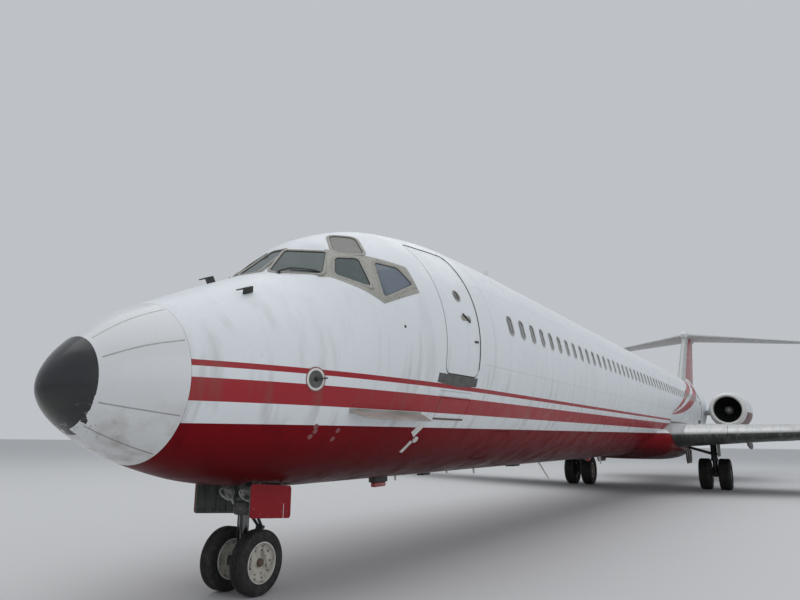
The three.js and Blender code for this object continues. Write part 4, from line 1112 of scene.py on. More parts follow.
# Air data: a vane on a round plate, pitot masts over the nose, static ports and drain holes flush
# with the skin, and a hinged drain strip below each strake
white_ring = Finish("ring_paint", 0.35).mottle((0.8, 0.8, 0.78), (0.62, 0.6, 0.56), 9, 3)
plate_red = Finish("plate_red", 0.45).mottle((0.3, 0.12, 0.12), (0.2, 0.05, 0.055), 12, 3)
gear_brown = Finish("rusty_hinge", 0.7).mottle((0.16, 0.09, 0.05), (0.07, 0.06, 0.055), 40, 4)
PLATES = [
    # finish, radius, height, places as station and height
    (plate_red, 0.123, 0.002, [(2.098, 2.189)]),
    (white_ring, 0.112, 0.0035, [(2.098, 2.189)]),
    (scuff_plate, 0.09, 0.005, [(2.098, 2.189)]),
    (
        plate_red, 0.03, 0.001,
        [(2.254, 1.729), (2.272, 1.681), (2.243, 1.627), (2.597, 1.693), (2.586, 1.605)],
    ),
    (black_parts, 0.019, 0.0012, [(3.41, 2.895)]),
]
MAST = [
    # height, outline of the pitot mast there
    (-0.02, [(-0.07, 0), (-0.04, 0.014), (0.06, 0.008), (0.06, -0.008), (-0.04, -0.014)]),
    (0.07, [(-0.075, 0), (-0.05, 0.012), (0.05, 0.007), (0.05, -0.007), (-0.05, -0.012)]),
]
for side, sign in SIDES:
    for number, (finish, radius, height, places) in enumerate(PLATES):
        discs = []
        for station, level in places:
            disc = turned_shape([(radius, -0.008), (radius, height * 0.5), (radius - 0.003, height)], 32)
            discs.append(placed(disc, side_frame(station, level, sign)))
        fit(f"skin_plates_{number}_{side}", joined(discs), finish)
    pivot = side_frame(2.098, 2.189, sign, 0.004)
    vane = [
        turned_shape([(0.022, -0.004), (0.022, 0.012), (0.012, 0.034)], 20),
        box_shape((0.13, 0.014, 0.03), 0.004, (0.06, 0, 0.022)),
    ]
    vane = [placed(shape, pivot) for shape in vane]
    masts_at = [skin_frame(1.7, 90 - sign * 33)]
    if side == "right":
        masts_at.append(skin_frame(1.84, 84))
    for mast_at in masts_at:
        mast = loft([[Vector((x, y, z)) for x, y in outline] for z, outline in MAST])
        head = tube([(0.04, 0, 0.064), (-0.08, 0, 0.064), (-0.16, 0, 0.064)], (0.009, 0.009, 0.006), 16)
        vane += [placed(mast, mast_at), placed(head, mast_at)]
    fit(f"air_data_{side}", joined(vane), black_parts)
    hinge_line = [side_frame(4.3 + 0.775 * i / 8, 1.862, sign, 0.004).translation for i in range(9)]
    fit(f"hatch_hinge_{side}", tube(hinge_line, 0.012, 10, 2), gear_brown)
    strip = []
    for (station, level), (station_b, level_b), wide in (
        ((4.131, 1.795), (4.03, 1.661), 0.062), ((4.115, 1.581), (4.084, 1.446), 0.035),
    ):
        ends = [
            side_frame(station, level, sign).translation, side_frame(station_b, level_b, sign).translation
        ]
        normal = side_frame(station, level, sign).to_3x3().col[2]
        beside = (ends[1] - ends[0]).cross(normal).normalized() * wide
        strip.append(
            loft(
                [
                    [
                        end + beside * b + normal * z
                        for b, z in ((-1, -0.02), (1, -0.02), (1, 0.008), (-1, 0.008))
                    ]
                    for end in ends
                ]
            )
        )
    knuckle = turned_shape([(0.045, -0.02), (0.045, 0.014), (0.035, 0.022), (0.012, 0.022)], 24)
    strip.append(placed(knuckle, side_frame(4.17, 1.602, sign)))
    fit(f"drain_strip_{side}", joined(strip), white_ring)

# Aerials, beacons and drains: blades on the crown, a red lens above and below, and short masts and
# boxes along the belly
red_lens = Finish("beacon_lens", 0.12, Coat_Weight=1.0)
red_lens.set(
    "Base Color",
    red_lens.mix(red_lens.seam(red_lens.x, 0.02, 0.003), (0.4, 0.01, 0.012), (0.22, 0.006, 0.008)),
)


def blade_mesh(place, length, height, lean, thick=0.012):
    """Thin blade that stands on the skin with its tip swept aft by lean"""
    rings = []
    for share in (-0.08, 0.0, 0.5, 0.9, 1.0):
        chord = length * (1 - 0.35 * max(share, 0))
        wide = thick * (1 if share < 0.95 else 0.4)
        at = lean * max(share, 0)
        outline = [(-0.5, 0), (-0.3, 1), (0.1, 1), (0.5, 0.25), (0.5, -0.25), (0.1, -1), (-0.3, -1)]
        rings.append([place @ Vector((at + x * chord, y * wide, height * share)) for x, y in outline])
    return loft(rings)


CROWN_BLADES = [(9.05, 0.26, 0.42, 0.12), (14.2, 0.3, 0.26, 0.12), (27.3, 0.24, 0.2, 0.1)]
BELLY_BLADES = [
    (5.55, 0.05, 0.08, 0.02), (7.25, 0.07, 0.05, 0.02), (8.35, 0.09, 0.1, 0.04), (12.0, 0.12, 0.42, 0.72),
    (17.6, 0.26, 0.22, 0.12),
]
BELLY_BOXES = [
    (5.0, 0.34, 0.11, 0.07), (6.33, 0.24, 0.12, 0.035), (10.2, 0.34, 0.2, 0.03), (15.4, 0.4, 0.24, 0.03)
]
blades = [blade_mesh(skin_frame(station, 90), *rest) for station, *rest in CROWN_BLADES]
blades += [blade_mesh(skin_frame(station, 270), *rest) for station, *rest in BELLY_BLADES]
fit("aerial_blades", joined(blades), white_ring, crease=30)
boxes = [
    box_shape((long, wide, 2 * high), 0.012, skin_frame(station, 268))
    for station, long, wide, high in BELLY_BOXES
]
fit("belly_boxes", joined(boxes), black_parts)
DOME = [(0.085, -0.01), (0.085, 0.02), (0.075, 0.06), (0.045, 0.09), (0.01, 0.1)]
domes = [placed(turned_shape(DOME, 28), skin_frame(*at)) for at in ((16.1, 90), (19.6, 90), (16.3, 270))]
domes.append(box_shape((0.3, 0.075, 0.07), 0.02, skin_frame(5.0, 268, 0.1)))
fit("beacons", joined(domes), red_lens)

# Belly fairing: a thin shell of glass cloth panels that blends the wing roots into the belly and
# covers the wheel wells between them, painted with the belly and screwed along its edges
FAIRING = [
    # station, half width, top, belly
    (18.9, 0.9, 1.8, 1.25),
    (20.3, 1.7, 2.08, 0.95),
    (22.5, 1.8, 2.2, 0.87),
    (24.6, 1.7, 2.1, 0.81),
    (26.4, 1.3, 1.9, 0.87),
    (28.6, 0.7, 1.7, 1.25),
]
FAIRING_POWER = 2 / 3


def fairing_ring(station, grow=0.0, sides=96):
    row = min(sum(line[0] <= station for line in FAIRING), len(FAIRING) - 1)
    low, high = FAIRING[row - 1], FAIRING[row]
    share = (station - low[0]) / (high[0] - low[0])
    half, top, belly = (a + (b - a) * share for a, b in zip(low[1:], high[1:]))
    ring = []
    for i in range(sides):
        angle = 2 * math.pi * i / sides
        across, rise = math.cos(angle), math.sin(angle)
        across = math.copysign(abs(across) ** FAIRING_POWER, across)
        rise = math.copysign(abs(rise) ** FAIRING_POWER, rise)
        ring.append(
            Vector((station, (half + grow) * across, (top + belly) / 2 + ((top - belly) / 2 + grow) * rise))
        )
    return ring


def fairing_shape(grow=0.0):
    stations = [18.9 + 9.7 * i / 60 for i in range(61)]
    return loft([fairing_ring(station, grow) for station in stations])


root_core = barrel(18, 30.4, 0.4, -0.03)
fairing = carve(fairing_shape(), root_core)
fit("belly_fairing", fairing, hull_paint, stands_for=["wing_fairing"], crease=30)
filled = fairing_shape(0.0003)

# Wheel well doors: pressed panels with a stiff rim that hang open under the fairing on two hinges
WELL_DOOR = (23.8, 25.3, 1.64, 0.04, 0.7, 1.18)
for side, sign in SIDES:
    start, end, off, thick, low, high = WELL_DOOR
    panel = [
        (start, high), (start + 0.06, low + 0.18), (start + 0.2, low), (end - 0.2, low),
        (end - 0.06, low + 0.18), (end, high),
    ]
    door = prism(panel, off, off + thick, sign)
    pan = [
        (start + 0.12, high), (start + 0.2, low + 0.2), (start + 0.28, low + 0.08),
        (end - 0.28, low + 0.08), (end - 0.2, low + 0.2), (end - 0.12, high),
    ]
    door = carve(door, prism(pan, off - 0.02, off + 0.016, sign))
    for x in (start + 0.5, start + 1.0):
        door = carve(door, box_shape((0.05, 0.05, 0.5), 0, Vector((x, sign * (off + 0.03), 1.0))), "UNION")
    fit(f"well_door_{side}", carve(door, filled), hull_paint, crease=30)

# Wings: a spar box of thick alloy skins, swept and tapered, painted grey. Slats of bare metal run
# along the nose, two flaps and an aileron behind, and tank plates are bolted on below.
FOIL_SHARES = [0.5 - 0.5 * math.cos(math.pi * i / 30) for i in range(31)]


class Section:
    """Foil section at one span of a wing, tailplane, pylon or, set upright, of the fin"""

    def __init__(
        self, span, nose, chord, height, thickness, sign=1, camber=0.0, incidence=0.0, upright=False
    ):
        self.span, self.nose, self.chord, self.height = span, nose, chord, height
        self.thickness, self.sign, self.camber, self.incidence = thickness, sign, camber, incidence
        self.upright = upright

    def half(self, share):
        """Half thickness in metres"""
        bulge = 0.2969 * math.sqrt(share) - 0.126 * share - 0.3516 * share**2
        bulge += 0.2843 * share**3 - 0.1015 * share**4
        return (5 * self.thickness * bulge + 0.0005) * self.chord

    def skin(self, share, side, lift=0.0):
        """Point on the upper or starboard skin for side 1, below or port for -1, between for 0"""
        kept = max(0.0, min(1.0, share))
        drop = share * self.chord * self.incidence
        middle = self.height - drop + 4 * share * (1 - share) * self.camber * self.chord
        off = middle + side * (self.half(kept) + lift)
        x = self.nose + share * self.chord
        return Vector((x, off, self.span)) if self.upright else Vector((x, self.sign * self.span, off))

    def ring(self, shares=FOIL_SHARES):
        return [self.skin(share, 1) for share in shares] + [self.skin(share, -1) for share in shares[:0:-1]]

    def around(self, hinge, radius, degrees):
        """Point round the hinge: angle 0 aft, 90 degrees up"""
        angle = math.radians(degrees)
        along, off = radius * math.cos(angle), radius * math.sin(angle)
        return self.skin(hinge, 0) + Vector((along, off, 0) if self.upright else (along, 0, off))

    def surface_ring(self, hinge):
        """A moving surface: round at its hinge, then the skins to its rear edge"""
        shares = [hinge + (1 - hinge) * i / 8 for i in range(9)]
        nose = [self.around(hinge, self.half(hinge), -105 - 150 * i / 12) for i in range(13)]
        return [self.skin(s, 1) for s in shares] + [self.skin(s, -1) for s in shares[::-1]] + nose

    def cove_ring(self, hinge, gap):
        """The hollow a moving surface sits in, open behind, above and below"""
        radius = self.half(hinge)
        lip = math.degrees(math.asin(radius / (radius + gap)))
        arc = [self.around(hinge, radius + gap, 180 - lip * (1 - i / 8) * 0.97) for i in range(17)]
        edge = hinge - (radius + gap) * math.cos(math.radians(lip)) / self.chord
        past = 0.06
        far = 1 + past / self.chord
        return [
            self.skin(edge, 1, past), self.skin(edge, 1), *arc, self.skin(edge, -1),
            self.skin(edge, -1, past), self.skin(far, -1, past), self.skin(far, 1, past),
        ]


def spread(start, end, step):
    count = max(1, math.ceil((end - start) / step))
    return [start + (end - start) * i / count for i in range(count + 1)]


LUG_HALF = 0.014
LUG_PIN = 0.014
LUG_WALL = 0.02
SLOT_SIDE_GAP = 0.018
RUNNING_GAP = 0.012


def hinged(fixed, section_at, start, end, hinge, hinges, end_gap, gap=RUNNING_GAP):
    """Fits a control surface in its carrier: a cove, and lugs in slots with pins through them"""
    ends = (start - end_gap, end + end_gap)
    fixed = carve(fixed, loft([section_at(span).cove_ring(hinge, gap) for span in ends]))
    surface = loft([section_at(span).surface_ring(hinge) for span in spread(start, end, 0.7)])
    for share in hinges:
        span = start + (end - start) * share
        at = section_at(span)
        radius = at.half(hinge)
        pin = min(LUG_PIN, radius * 0.4)
        eye = min(pin + LUG_WALL, radius * 0.75)

        def disc(station, size, sides=24):
            return [station.around(hinge, size, 360 * i / sides) for i in range(sides)]

        lug_ends = [section_at(span + side * LUG_HALF) for side in (-1, 1)]
        slot_ends = [section_at(span + side * (LUG_HALF + SLOT_SIDE_GAP)) for side in (-1, 1)]
        arm = []
        for station in lug_ends:
            centre = station.skin(hinge, 0)
            up = Vector((0, eye * 0.8, 0) if station.upright else (0, 0, eye * 0.8))
            ahead = centre - Vector((radius + 2 * gap, 0, 0))
            arm.append([centre + up, centre - up, ahead - up, ahead + up])
        lug = carve(loft([disc(station, eye) for station in lug_ends]), loft(arm), "UNION")
        a, b = (station.skin(hinge, 0) for station in slot_ends)
        past = (b - a).normalized() * 0.01
        lug = carve(lug, tube([a - past, b + past], pin + 0.0006, 24))
        fixed = carve(fixed, lug, "UNION")
        surface = carve(surface, loft([disc(station, radius * 1.6) for station in slot_ends]))
        surface = carve(surface, tube([a - past, b + past], pin, 20), "UNION")
    return fixed, surface


def skin_place(section_at, span, share, side, lift=0.0):
    """Place on a skin with x aft along it, y across and z out of it"""
    at = section_at(span)
    here = at.skin(share, side)
    aft = at.skin(share + 0.004, side) - at.skin(share - 0.004, side)
    out = section_at(span + 0.01).skin(share, side) - section_at(span - 0.01).skin(share, side)
    return skin_matrix(here, aft, out, at.skin(share, 0), lift)


def skin_path(section_at, corners, side, step=0.25):
    """Closed row of places on a skin through corners given as span and chord share"""
    row = []
    for (span_a, share_a), (span_b, share_b) in zip(corners, corners[1:] + corners[:1]):
        count = max(2, math.ceil(abs(span_b - span_a) / step)) if span_a != span_b else 5
        for i in range(count):
            at = (span_a + (span_b - span_a) * i / count, share_a + (share_b - share_a) * i / count)
            row.append(skin_place(section_at, *at, side))
    return row


def groove(row, half=0.004, depth=0.008):
    """Closed knife that cuts a thin groove along a row of places"""
    rings = []
    for i, place in enumerate(row):
        here, normal = place.translation, place.to_3x3().col[2]
        tangent = (row[(i + 1) % len(row)].translation - row[i - 1].translation).normalized()
        beside = normal.cross(tangent) * half
        out, down = normal * 0.02, normal * -depth
        rings.append([here + beside + out, here - beside + out, here - beside + down, here + beside + down])
    return loft(rings, shut=False)


WING_NOSE = 19.64
WING_SWEEP = math.tan(math.radians(27.5))
WING_DIHEDRAL = math.tan(math.radians(2))
KINK_SPAN = 4.2
OUTER_SPAN = 12.235
ROOT_CHORD, KINK_CHORD, TIP_CHORD = 7.05, 4.31, 1.1


def wing_section(span, sign, thin=1.0):
    past = max(0, (span - KINK_SPAN) / OUTER_SPAN)
    inner = ROOT_CHORD - (ROOT_CHORD - KINK_CHORD) * span / KINK_SPAN
    chord = inner if span < KINK_SPAN else KINK_CHORD - (KINK_CHORD - TIP_CHORD) * past
    nose = WING_NOSE + span * WING_SWEEP
    height = 1.71 + (span - 1.65) * WING_DIHEDRAL
    thickness = (0.138 - 0.033 * past) * thin
    return Section(span, nose, chord, height, thickness, sign, 0.015, math.sin(math.radians(1.5)))


def wing_paint(name, tone, worn, underside_shade_tone=None, metallic=0.0, roughness=0.42):
    """Grey paint with spar and rib seams, rivet rows, fluid streaks aft and painted shade on the underside,
    darker where the skin faces down
    """
    paint = Finish(name, roughness, Metallic=metallic, Specular_IOR_Level=0.3)
    out = abs(paint.y)
    nose = paint.math("MULTIPLY_ADD", out, WING_SWEEP, WING_NOSE)
    inner = paint.math("MULTIPLY_ADD", out, (KINK_CHORD - ROOT_CHORD) / KINK_SPAN, ROOT_CHORD)
    taper = (KINK_CHORD - TIP_CHORD) / OUTER_SPAN
    outer = paint.math("MULTIPLY_ADD", out, -taper, KINK_CHORD + KINK_SPAN * taper)
    chord = inner | outer
    share = (paint.x - nose) / chord
    spars = paint.between(share, 0.199, 0.2005)
    for line in (0.34, 0.47, 0.58):
        spars = spars | paint.between(share, line, line + 0.0015)
    ribs = paint.seam(out - 0.35, 1.62, 0.003)
    seams = spars | ribs
    rivets = paint.seam(out + 0.02, 0.405, 0.012)
    rivets = rivets * paint.seam(share, 0.011, 0.0022)
    streaks = paint.fade(paint.noise(3.2, 5, (0.2, 2.6, 1)), 0.5, 0.8)
    tones = paint.mix(paint.fade(paint.noise(1.6, 4), 0.35, 0.7), tone, [0.86 * part for part in tone])
    if underside_shade_tone:
        # Painted shade: where the skin faces down, the colour turns to the darker underside tone
        upward = paint.add("ShaderNodeSeparateXYZ", "Z", {0: paint.add("ShaderNodeNewGeometry", "Normal")})
        under = paint.fade(upward, 0.62, 0.1)
        underside_shade_mottle = [0.7 * part for part in underside_shade_tone]
        tones = paint.mix(
            under, tones, paint.mix(paint.fade(paint.noise(2.1, 5), 0.4, 0.65), underside_shade_tone, underside_shade_mottle)
        )
    tones = paint.mix(streaks * 0.45, tones, worn)
    tones = paint.mix(seams * 0.5, tones, (0.1, 0.1, 0.1))
    tones = paint.mix(rivets * 0.4, tones, (0.2, 0.2, 0.2))
    paint.set("Base Color", tones)
    paint.dull(4, 4, 0.3, 0.75, roughness - 0.08, roughness + 0.12)
    paint.bump(paint.math("MULTIPLY_ADD", seams, -0.5, paint.noise(2.2, 3)), 0.3, 0.003)
    return paint


# The last tone of each is painted shade for the undersides, dark on the wing and lighter on the slats
grey_skin = wing_paint("wing_paint", (0.5, 0.51, 0.51), (0.1, 0.1, 0.085), (0.035, 0.037, 0.034))
slat_metal = wing_paint("slat_metal", (0.7, 0.7, 0.69), (0.3, 0.3, 0.28), (0.06, 0.062, 0.058), 0.4, 0.32)
SLAT_FROM = 2.05
SLAT_TO = 15.9
SLAT_JOINTS = (3.3, 6.55, 8.9, 11.25, 13.6)
SLAT_UPPER = 0.15
SLAT_LOWER = 0.05
FLAP_HINGE = 0.72
FLAPS = [("flap_inboard", 2.08, 4.17), ("flap_outboard", 4.2, 11.13)]
SPOILERS = [(2.35, 4.05), (4.6, 6.75), (6.8, 8.95)]


def slat_tool(section_at, start, end, grow):
    rings = []
    for span in (start - grow, end + grow):
        at = section_at(span)
        top = at.skin(SLAT_UPPER, 1, 0.06) + Vector((grow, 0, 0))
        low = at.skin(SLAT_LOWER, -1, 0.06) + Vector((grow, 0, 0))
        ahead = Vector((-at.chord * SLAT_UPPER - 0.06, 0, 0))
        rings.append([top, low, low + ahead, top + ahead])
    return loft(rings)


for side, sign in SIDES:
    def section_at(span, sign=sign, thin=1.0):
        return wing_section(span, sign, thin)

    spans = spread(1.1, KINK_SPAN, 0.4) + spread(KINK_SPAN, 16.1, 0.6)[1:]
    rings = [section_at(span).ring() for span in spans]
    for i in range(1, 9):
        turned_by = math.pi / 2 * i / 8.6
        rings.append(section_at(16.1 + 0.335 * math.sin(turned_by), thin=math.cos(turned_by)).ring())
    whole = loft(rings)
    slat = carve(whole, slat_tool(section_at, SLAT_FROM, SLAT_TO, 0), "INTERSECT")
    for joint in SLAT_JOINTS:
        slat = carve(slat, slat_tool(section_at, joint - 0.006, joint + 0.006, 0))
    wing = carve(whole, slat_tool(section_at, SLAT_FROM, SLAT_TO, 0.008))
    for name, start, end in FLAPS:
        wing = carve(wing, loft([section_at(span).cove_ring(FLAP_HINGE, 0.006) for span in (start, end)]))
        flap = loft(
            [section_at(span).surface_ring(FLAP_HINGE) for span in spread(start + 0.006, end - 0.006, 0.6)]
        )
        flap = carve(flap, filled)
        vane = [(start + 0.1, 0.86), (end - 0.1, 0.86), (end - 0.1, 0.9999), (start + 0.1, 0.9999)]
        flap = carve(flap, groove(skin_path(section_at, vane, 1), 0.005, 0.006))
        fit(
            f"{name}_{side}_skin", flap, grey_skin, stands_for=[f"{name}_{side}"],
            crease=30,
        )
    wing, aileron = hinged(wing, section_at, 11.2, 15.3, FLAP_HINGE, (0.15, 0.85), 0.035)
    for start, end in SPOILERS:
        corners = [(start, 0.585), (end, 0.585), (end, 0.685), (start, 0.685)]
        wing = carve(wing, groove(skin_path(section_at, corners, 1)))
    wing = carve(carve(wing, filled), root_core)
    pad = turned_shape([(0.075, -0.1), (0.075, 0.011), (0.07, 0.015), (0.03, 0.015), (0.022, 0.004)], 32)
    wing = carve(wing, placed(pad, skin_place(section_at, 3.4, 0.45, -1)), "UNION")
    fit(f"wing_{side}_skin", wing, grey_skin, stands_for=[f"wing_{side}"], crease=30)
    fit(f"slats_{side}", slat, slat_metal, stands_for=[f"slat_{side}"], crease=30)
    tab = [(11.6, 0.9), (13.4, 0.9), (13.4, 0.9999), (11.6, 0.9999)]
    aileron = carve(aileron, groove(skin_path(section_at, tab, 1), 0.004, 0.004))
    fit(
        f"aileron_{side}_skin", aileron, grey_skin, f"aileron_body_{side}",
        [f"aileron_{side}"], 30,
    )

    # Fairings over the flap hinges: slim shells of glass cloth under the wing, screwed on in halves
    pods = []
    for span in (3.75, 6.2, 8.6, 10.7):
        at = section_at(span)
        drop = at.half(0.46)
        rings = []
        for i in range(25):
            along = i / 24
            size = math.sin(math.pi * along) ** 0.6
            middle = at.skin(0.46 + 0.57 * along, 0) - Vector((0, 0, drop + 0.07 * along))
            round_it = turns(24)
            across, rise = 0.008 + 0.077 * size, 0.01 + 0.14 * size
            rings.append([middle + Vector((0, across * math.cos(t), rise * math.sin(t))) for t in round_it])
        pods.append(loft(rings))
    fit(f"flap_pods_{side}", joined(pods), grey_skin, crease=40)

    # Tank access plates: oval lids in rows under the wing, each on a ring of countersunk screws
    lid = turned_shape(
        [(0.2, -0.004), (0.2, 0.0015), (0.194, 0.003), (0.186, 0.0032), (0.184, 0.0022), (0.18, 0.0032)], 28
    )
    lid.transform(Matrix.Diagonal((0.62, 1, 1, 1)))
    lids = [skin_place(section_at, 5.0 + 0.81 * i, share, -1) for i in range(12) for share in (0.28, 0.52)]
    fit(f"tank_plates_{side}", scatter("tank_plates", grey_skin, lid, lids), grey_skin)
    bolt_ring = [
        place @ Matrix.Translation((0.108 * math.cos(t), 0.174 * math.sin(t), 0.0028))
        for place in lids for t in turns(20)
    ]
    fit(
        f"tank_plate_screws_{side}", scatter("tank_screws", screw_metal, turned_shape(SCREW, 6), bolt_ring),
        screw_metal,
    )

    # Vortex plate under the nose: a thin fence that runs forward of the slat's foot
    plate = []
    for off in (-0.006, 0.006):
        at = section_at(6.6 + off)
        foot = [at.skin(0.012, -1, -0.01), at.skin(0.2, -1, -0.01)]
        plate.append(
            [
                foot[0], foot[1], foot[1] + Vector((-0.12, 0, -0.1)), foot[0] + Vector((-0.05, 0, -0.3)),
                foot[0] + Vector((-0.2, 0, -0.16)),
            ]
        )
    fit(f"vortex_plate_{side}", loft(plate), grey_skin)

# Fin and rudder: swept, built like the wing, painted red with a bare grey leading edge and a white
# band over the hull. The rudder hangs on two hinges and is moved by its own cylinder.
FIN_LOW, FIN_HIGH = 4.0, 7.72
FIN_NOSE, FIN_SWEEP = 35.3, 4.12
RUDDER_HINGE = 0.68
RUDDER_GAP = 0.028
ELEVATOR_HINGE = 0.7
TAIL_HALF = 6.12
BULLET = [
    (38.9, 0.02), (39.0, 0.085), (39.15, 0.13), (39.7, 0.225), (41.0, 0.265), (42.0, 0.25), (42.6, 0.22),
    (43.4, 0.06),
]


def fin_section(height):
    share = (height - FIN_LOW) / (FIN_HIGH - FIN_LOW)
    return Section(height, FIN_NOSE + FIN_SWEEP * share, 5.95 - 2.1 * share, 0, 0.1, upright=True)


def tail_section(span, sign, thickness=0.1):
    share = span / TAIL_HALF
    return Section(span, 39.6 + 4.21 * share, 3.5 - 2.25 * share, 7.85 - 0.29 * share, thickness, sign)


def bullet_shape(grow, sides=40):
    """The bullet's rows joined by steady curves and turned about its line"""
    rows = []
    padded = [BULLET[0], *BULLET, BULLET[-1]]
    for before, a, b, after in zip(padded, BULLET, BULLET[1:], padded[3:]):
        width = b[0] - a[0]
        rise_a = (b[1] - before[1]) / (b[0] - before[0])
        rise_b = (after[1] - a[1]) / (after[0] - a[0])
        for i in range(4):
            t = i / 4
            bend = (rise_a * (1 - t) - rise_b * t) * t * (1 - t) * width
            rows.append((a[0] + width * t, a[1] + (b[1] - a[1]) * (3 - 2 * t) * t * t + bend + grow))
    rows = [(BULLET[0][0] - grow, 0.001)] + rows + [(43.4, 0.06 + grow), (43.41 + grow, 0.02)]
    return turned_about(rows, (0, 0, 7.85), "X", sides)


def tail_paint_of(name, tone, banded):
    """Tail paint: red or grey, with rib and spar seams, a grey leading edge and a white band"""
    paint = Finish(name, 0.36, Coat_Weight=0.2, Coat_Roughness=0.15)
    colour = paint.mix(paint.fade(paint.noise(1.1, 4), 0.3, 0.7), tone, [0.84 * part for part in tone])
    if banded:
        nose = paint.math("MULTIPLY_ADD", paint.z - FIN_LOW, FIN_SWEEP / (FIN_HIGH - FIN_LOW), FIN_NOSE)
        lead = paint.x < nose + 0.55
        foot = paint.math("MULTIPLY_ADD", paint.x - 36, -0.08, 5.07)
        band = paint.between(paint.z - foot, -0.22, 0.0)
        line = paint.between(paint.z - foot, -0.27, -0.22)
        colour = paint.mix(band, colour, (0.74, 0.74, 0.72))
        colour = paint.mix(line, colour, (0.16, 0.08, 0.07))
        colour = paint.mix(lead, colour, (0.5, 0.52, 0.51))
    ribs = paint.seam(
        paint.math("MULTIPLY_ADD", paint.x, -0.05, paint.z) if banded else abs(paint.y), 0.62, 0.0025
    )
    colour = paint.mix(ribs * 0.4, colour, (0.12, 0.1, 0.1))
    rivets = paint.seam(paint.x, 0.06, 0.006) * paint.seam(paint.z if banded else paint.y, 0.31, 0.006)
    colour = paint.mix(rivets * 0.35, colour, (0.1, 0.1, 0.1))
    soot = paint.fade(paint.noise(4, 5, (0.3, 1, 1.4)), 0.5, 0.78) * 0.4
    colour = paint.mix(soot, colour, GRIME)
    paint.set("Base Color", colour)
    paint.dull(3.5, 4, 0.3, 0.75, 0.28, 0.5)
    paint.bump(paint.math("MULTIPLY_ADD", ribs, -0.4, paint.noise(2, 3)), 0.3, 0.004)
    return paint


fin_paint = tail_paint_of("fin_paint", RED, True)
tailplane_paint = tail_paint_of("tailplane_paint", (0.52, 0.53, 0.53), False)
tail_core = barrel(34, 41.2, 0.3, -0.02)


def plane_halves(grow=0.0):
    halves = []
    for side, sign in SIDES:
        spans = [(span, 1.0) for span in spread(0, TAIL_HALF - 0.14, 0.5)]
        spans += [
            (TAIL_HALF - 0.14 + 0.14 * math.sin(a), math.cos(a)) for a in (0.3, 0.6, 0.9, 1.15, 1.35, 1.48)
        ]
        rings = []
        for span, share in spans:
            at = tail_section(span, sign)
            at.thickness = 0.1 * share + 2 * grow / at.chord
            rings.append(at.ring())
        halves.append(loft(rings))
    return carve(*halves, "UNION")


fin = loft([fin_section(height).ring() for height in spread(FIN_LOW, FIN_HIGH, 0.3)])
fin, rudder = hinged(fin, fin_section, 4.68, 7.33, RUDDER_HINGE, (0.12, 0.88), 0.065, RUDDER_GAP)
fin = carve(carve(carve(fin, tail_core), plane_halves(0.001)), bullet_shape(0.001))
fit("fin_skin", fin, fin_paint, stands_for=["fin"], crease=30)
tab = [(4.8, 0.92), (6.6, 0.92), (6.6, 0.9999), (4.8, 0.9999)]
for skin_side in (1, -1):
    rudder = carve(rudder, groove(skin_path(fin_section, tab, skin_side), 0.004, 0.005))
fit("rudder_skin", rudder, fin_paint, "rudder_body", ["rudder"], 30)

# Tailplane and elevators: one trimmed plane on top of the fin, with a long bullet fairing over its
# pivot, painted grey with its bullet white. Each elevator is hinged behind and has two tabs.
plane = carve(plane_halves(), bullet_shape(0), "UNION")
for side, sign in SIDES:
    def section_at(span, sign=sign):
        return tail_section(span, sign)

    plane, elevator = hinged(plane, section_at, 0.54, 5.85, ELEVATOR_HINGE, (0.12, 0.85), 0.05)
    for start, end in ((0.7, 2.1), (2.2, 4.4)):
        corners = [(start, 0.88), (end, 0.88), (end, 0.9999), (start, 0.9999)]
        elevator = carve(elevator, groove(skin_path(section_at, corners, 1), 0.004, 0.004))
    fit(
        f"elevator_{side}_skin", elevator, tailplane_paint, f"elevator_body_{side}",
        [f"elevator_{side}"], 30,
    )
fit("tailplane_skin", plane, tailplane_paint, stands_for=["tailplane"], crease=30)
bullet_cap = carve(bullet_shape(0.0015), box_shape((1.0, 2, 2), 0, Vector((39.05, 0, 7.85))), "INTERSECT")
bullet_cap = carve(bullet_cap, bullet_shape(-0.01))
plain_white = airframe_paint("plain_white", striped=False)
fit("bullet_nose", carve(bullet_cap, plane_halves(0.001)), plain_white)

# Air scoop at the foot of the fin: a short pressed tube with a dark mouth
scoop_at = skin_frame(35.02, 90)
mouth = [(0.0, 0.062), (-0.012, 0.072), (0.0, 0.08), (0.05, 0.084), (0.42, 0.07), (0.42, 0.05), (0.05, 0.06)]
scoop = turned_about(mouth, (0, 0, 0.14), "X", 28, ring=True)
fit("fin_scoop", placed(scoop, scoop_at), plain_white)
throat = turned_about([(0.06, 0.06), (0.09, 0.06)], (0, 0, 0.14), "X", 28)
fit("fin_scoop_throat", placed(throat, scoop_at), black_parts)

# Engines: low bypass turbofans in long cowls on short pylons. A polished lip, painted cowl doors
# with latches, a dark fan behind a round spinner, and a heat stained tail pipe with a lobed mixer.
ENGINE_NOSE, ENGINE_SIDE, ENGINE_HEIGHT = 30.4, 2.69, 2.94
DUCT = 0.645
COWL = [
    (0.32, 0.8), (0.6, 0.834), (0.9, 0.86), (1.4, 0.879), (1.9, 0.885), (2.6, 0.882), (3.3, 0.87),
    (4.0, 0.845), (4.7, 0.8), (5.3, 0.755),
]
LIP = [
    (0.3194, 0.6), (0.2, 0.582), (0.12, 0.58), (0.06, 0.59), (0.025, 0.61), (0.006, 0.634), (0.0, 0.657),
    (0.006, 0.682), (0.02, 0.702), (0.045, 0.724), (0.09, 0.747), (0.15, 0.768), (0.235, 0.788),
    (0.3194, 0.8),
]
FAN_FACE = 0.98
ENGINE_SIDES = 96


def engine_turned(rows, sign, sides=ENGINE_SIDES, closed=True):
    """Shape turned about an engine's line from rows of distance aft of the lip and radius"""
    rings = []
    across = sign * ENGINE_SIDE
    for along, radius in rows:
        rings.append([
            Vector((ENGINE_NOSE + along, across + radius * math.cos(a), ENGINE_HEIGHT + radius * math.sin(a)))
            for a in turns(sides)
        ])
    return loft(rings, shut=not closed)


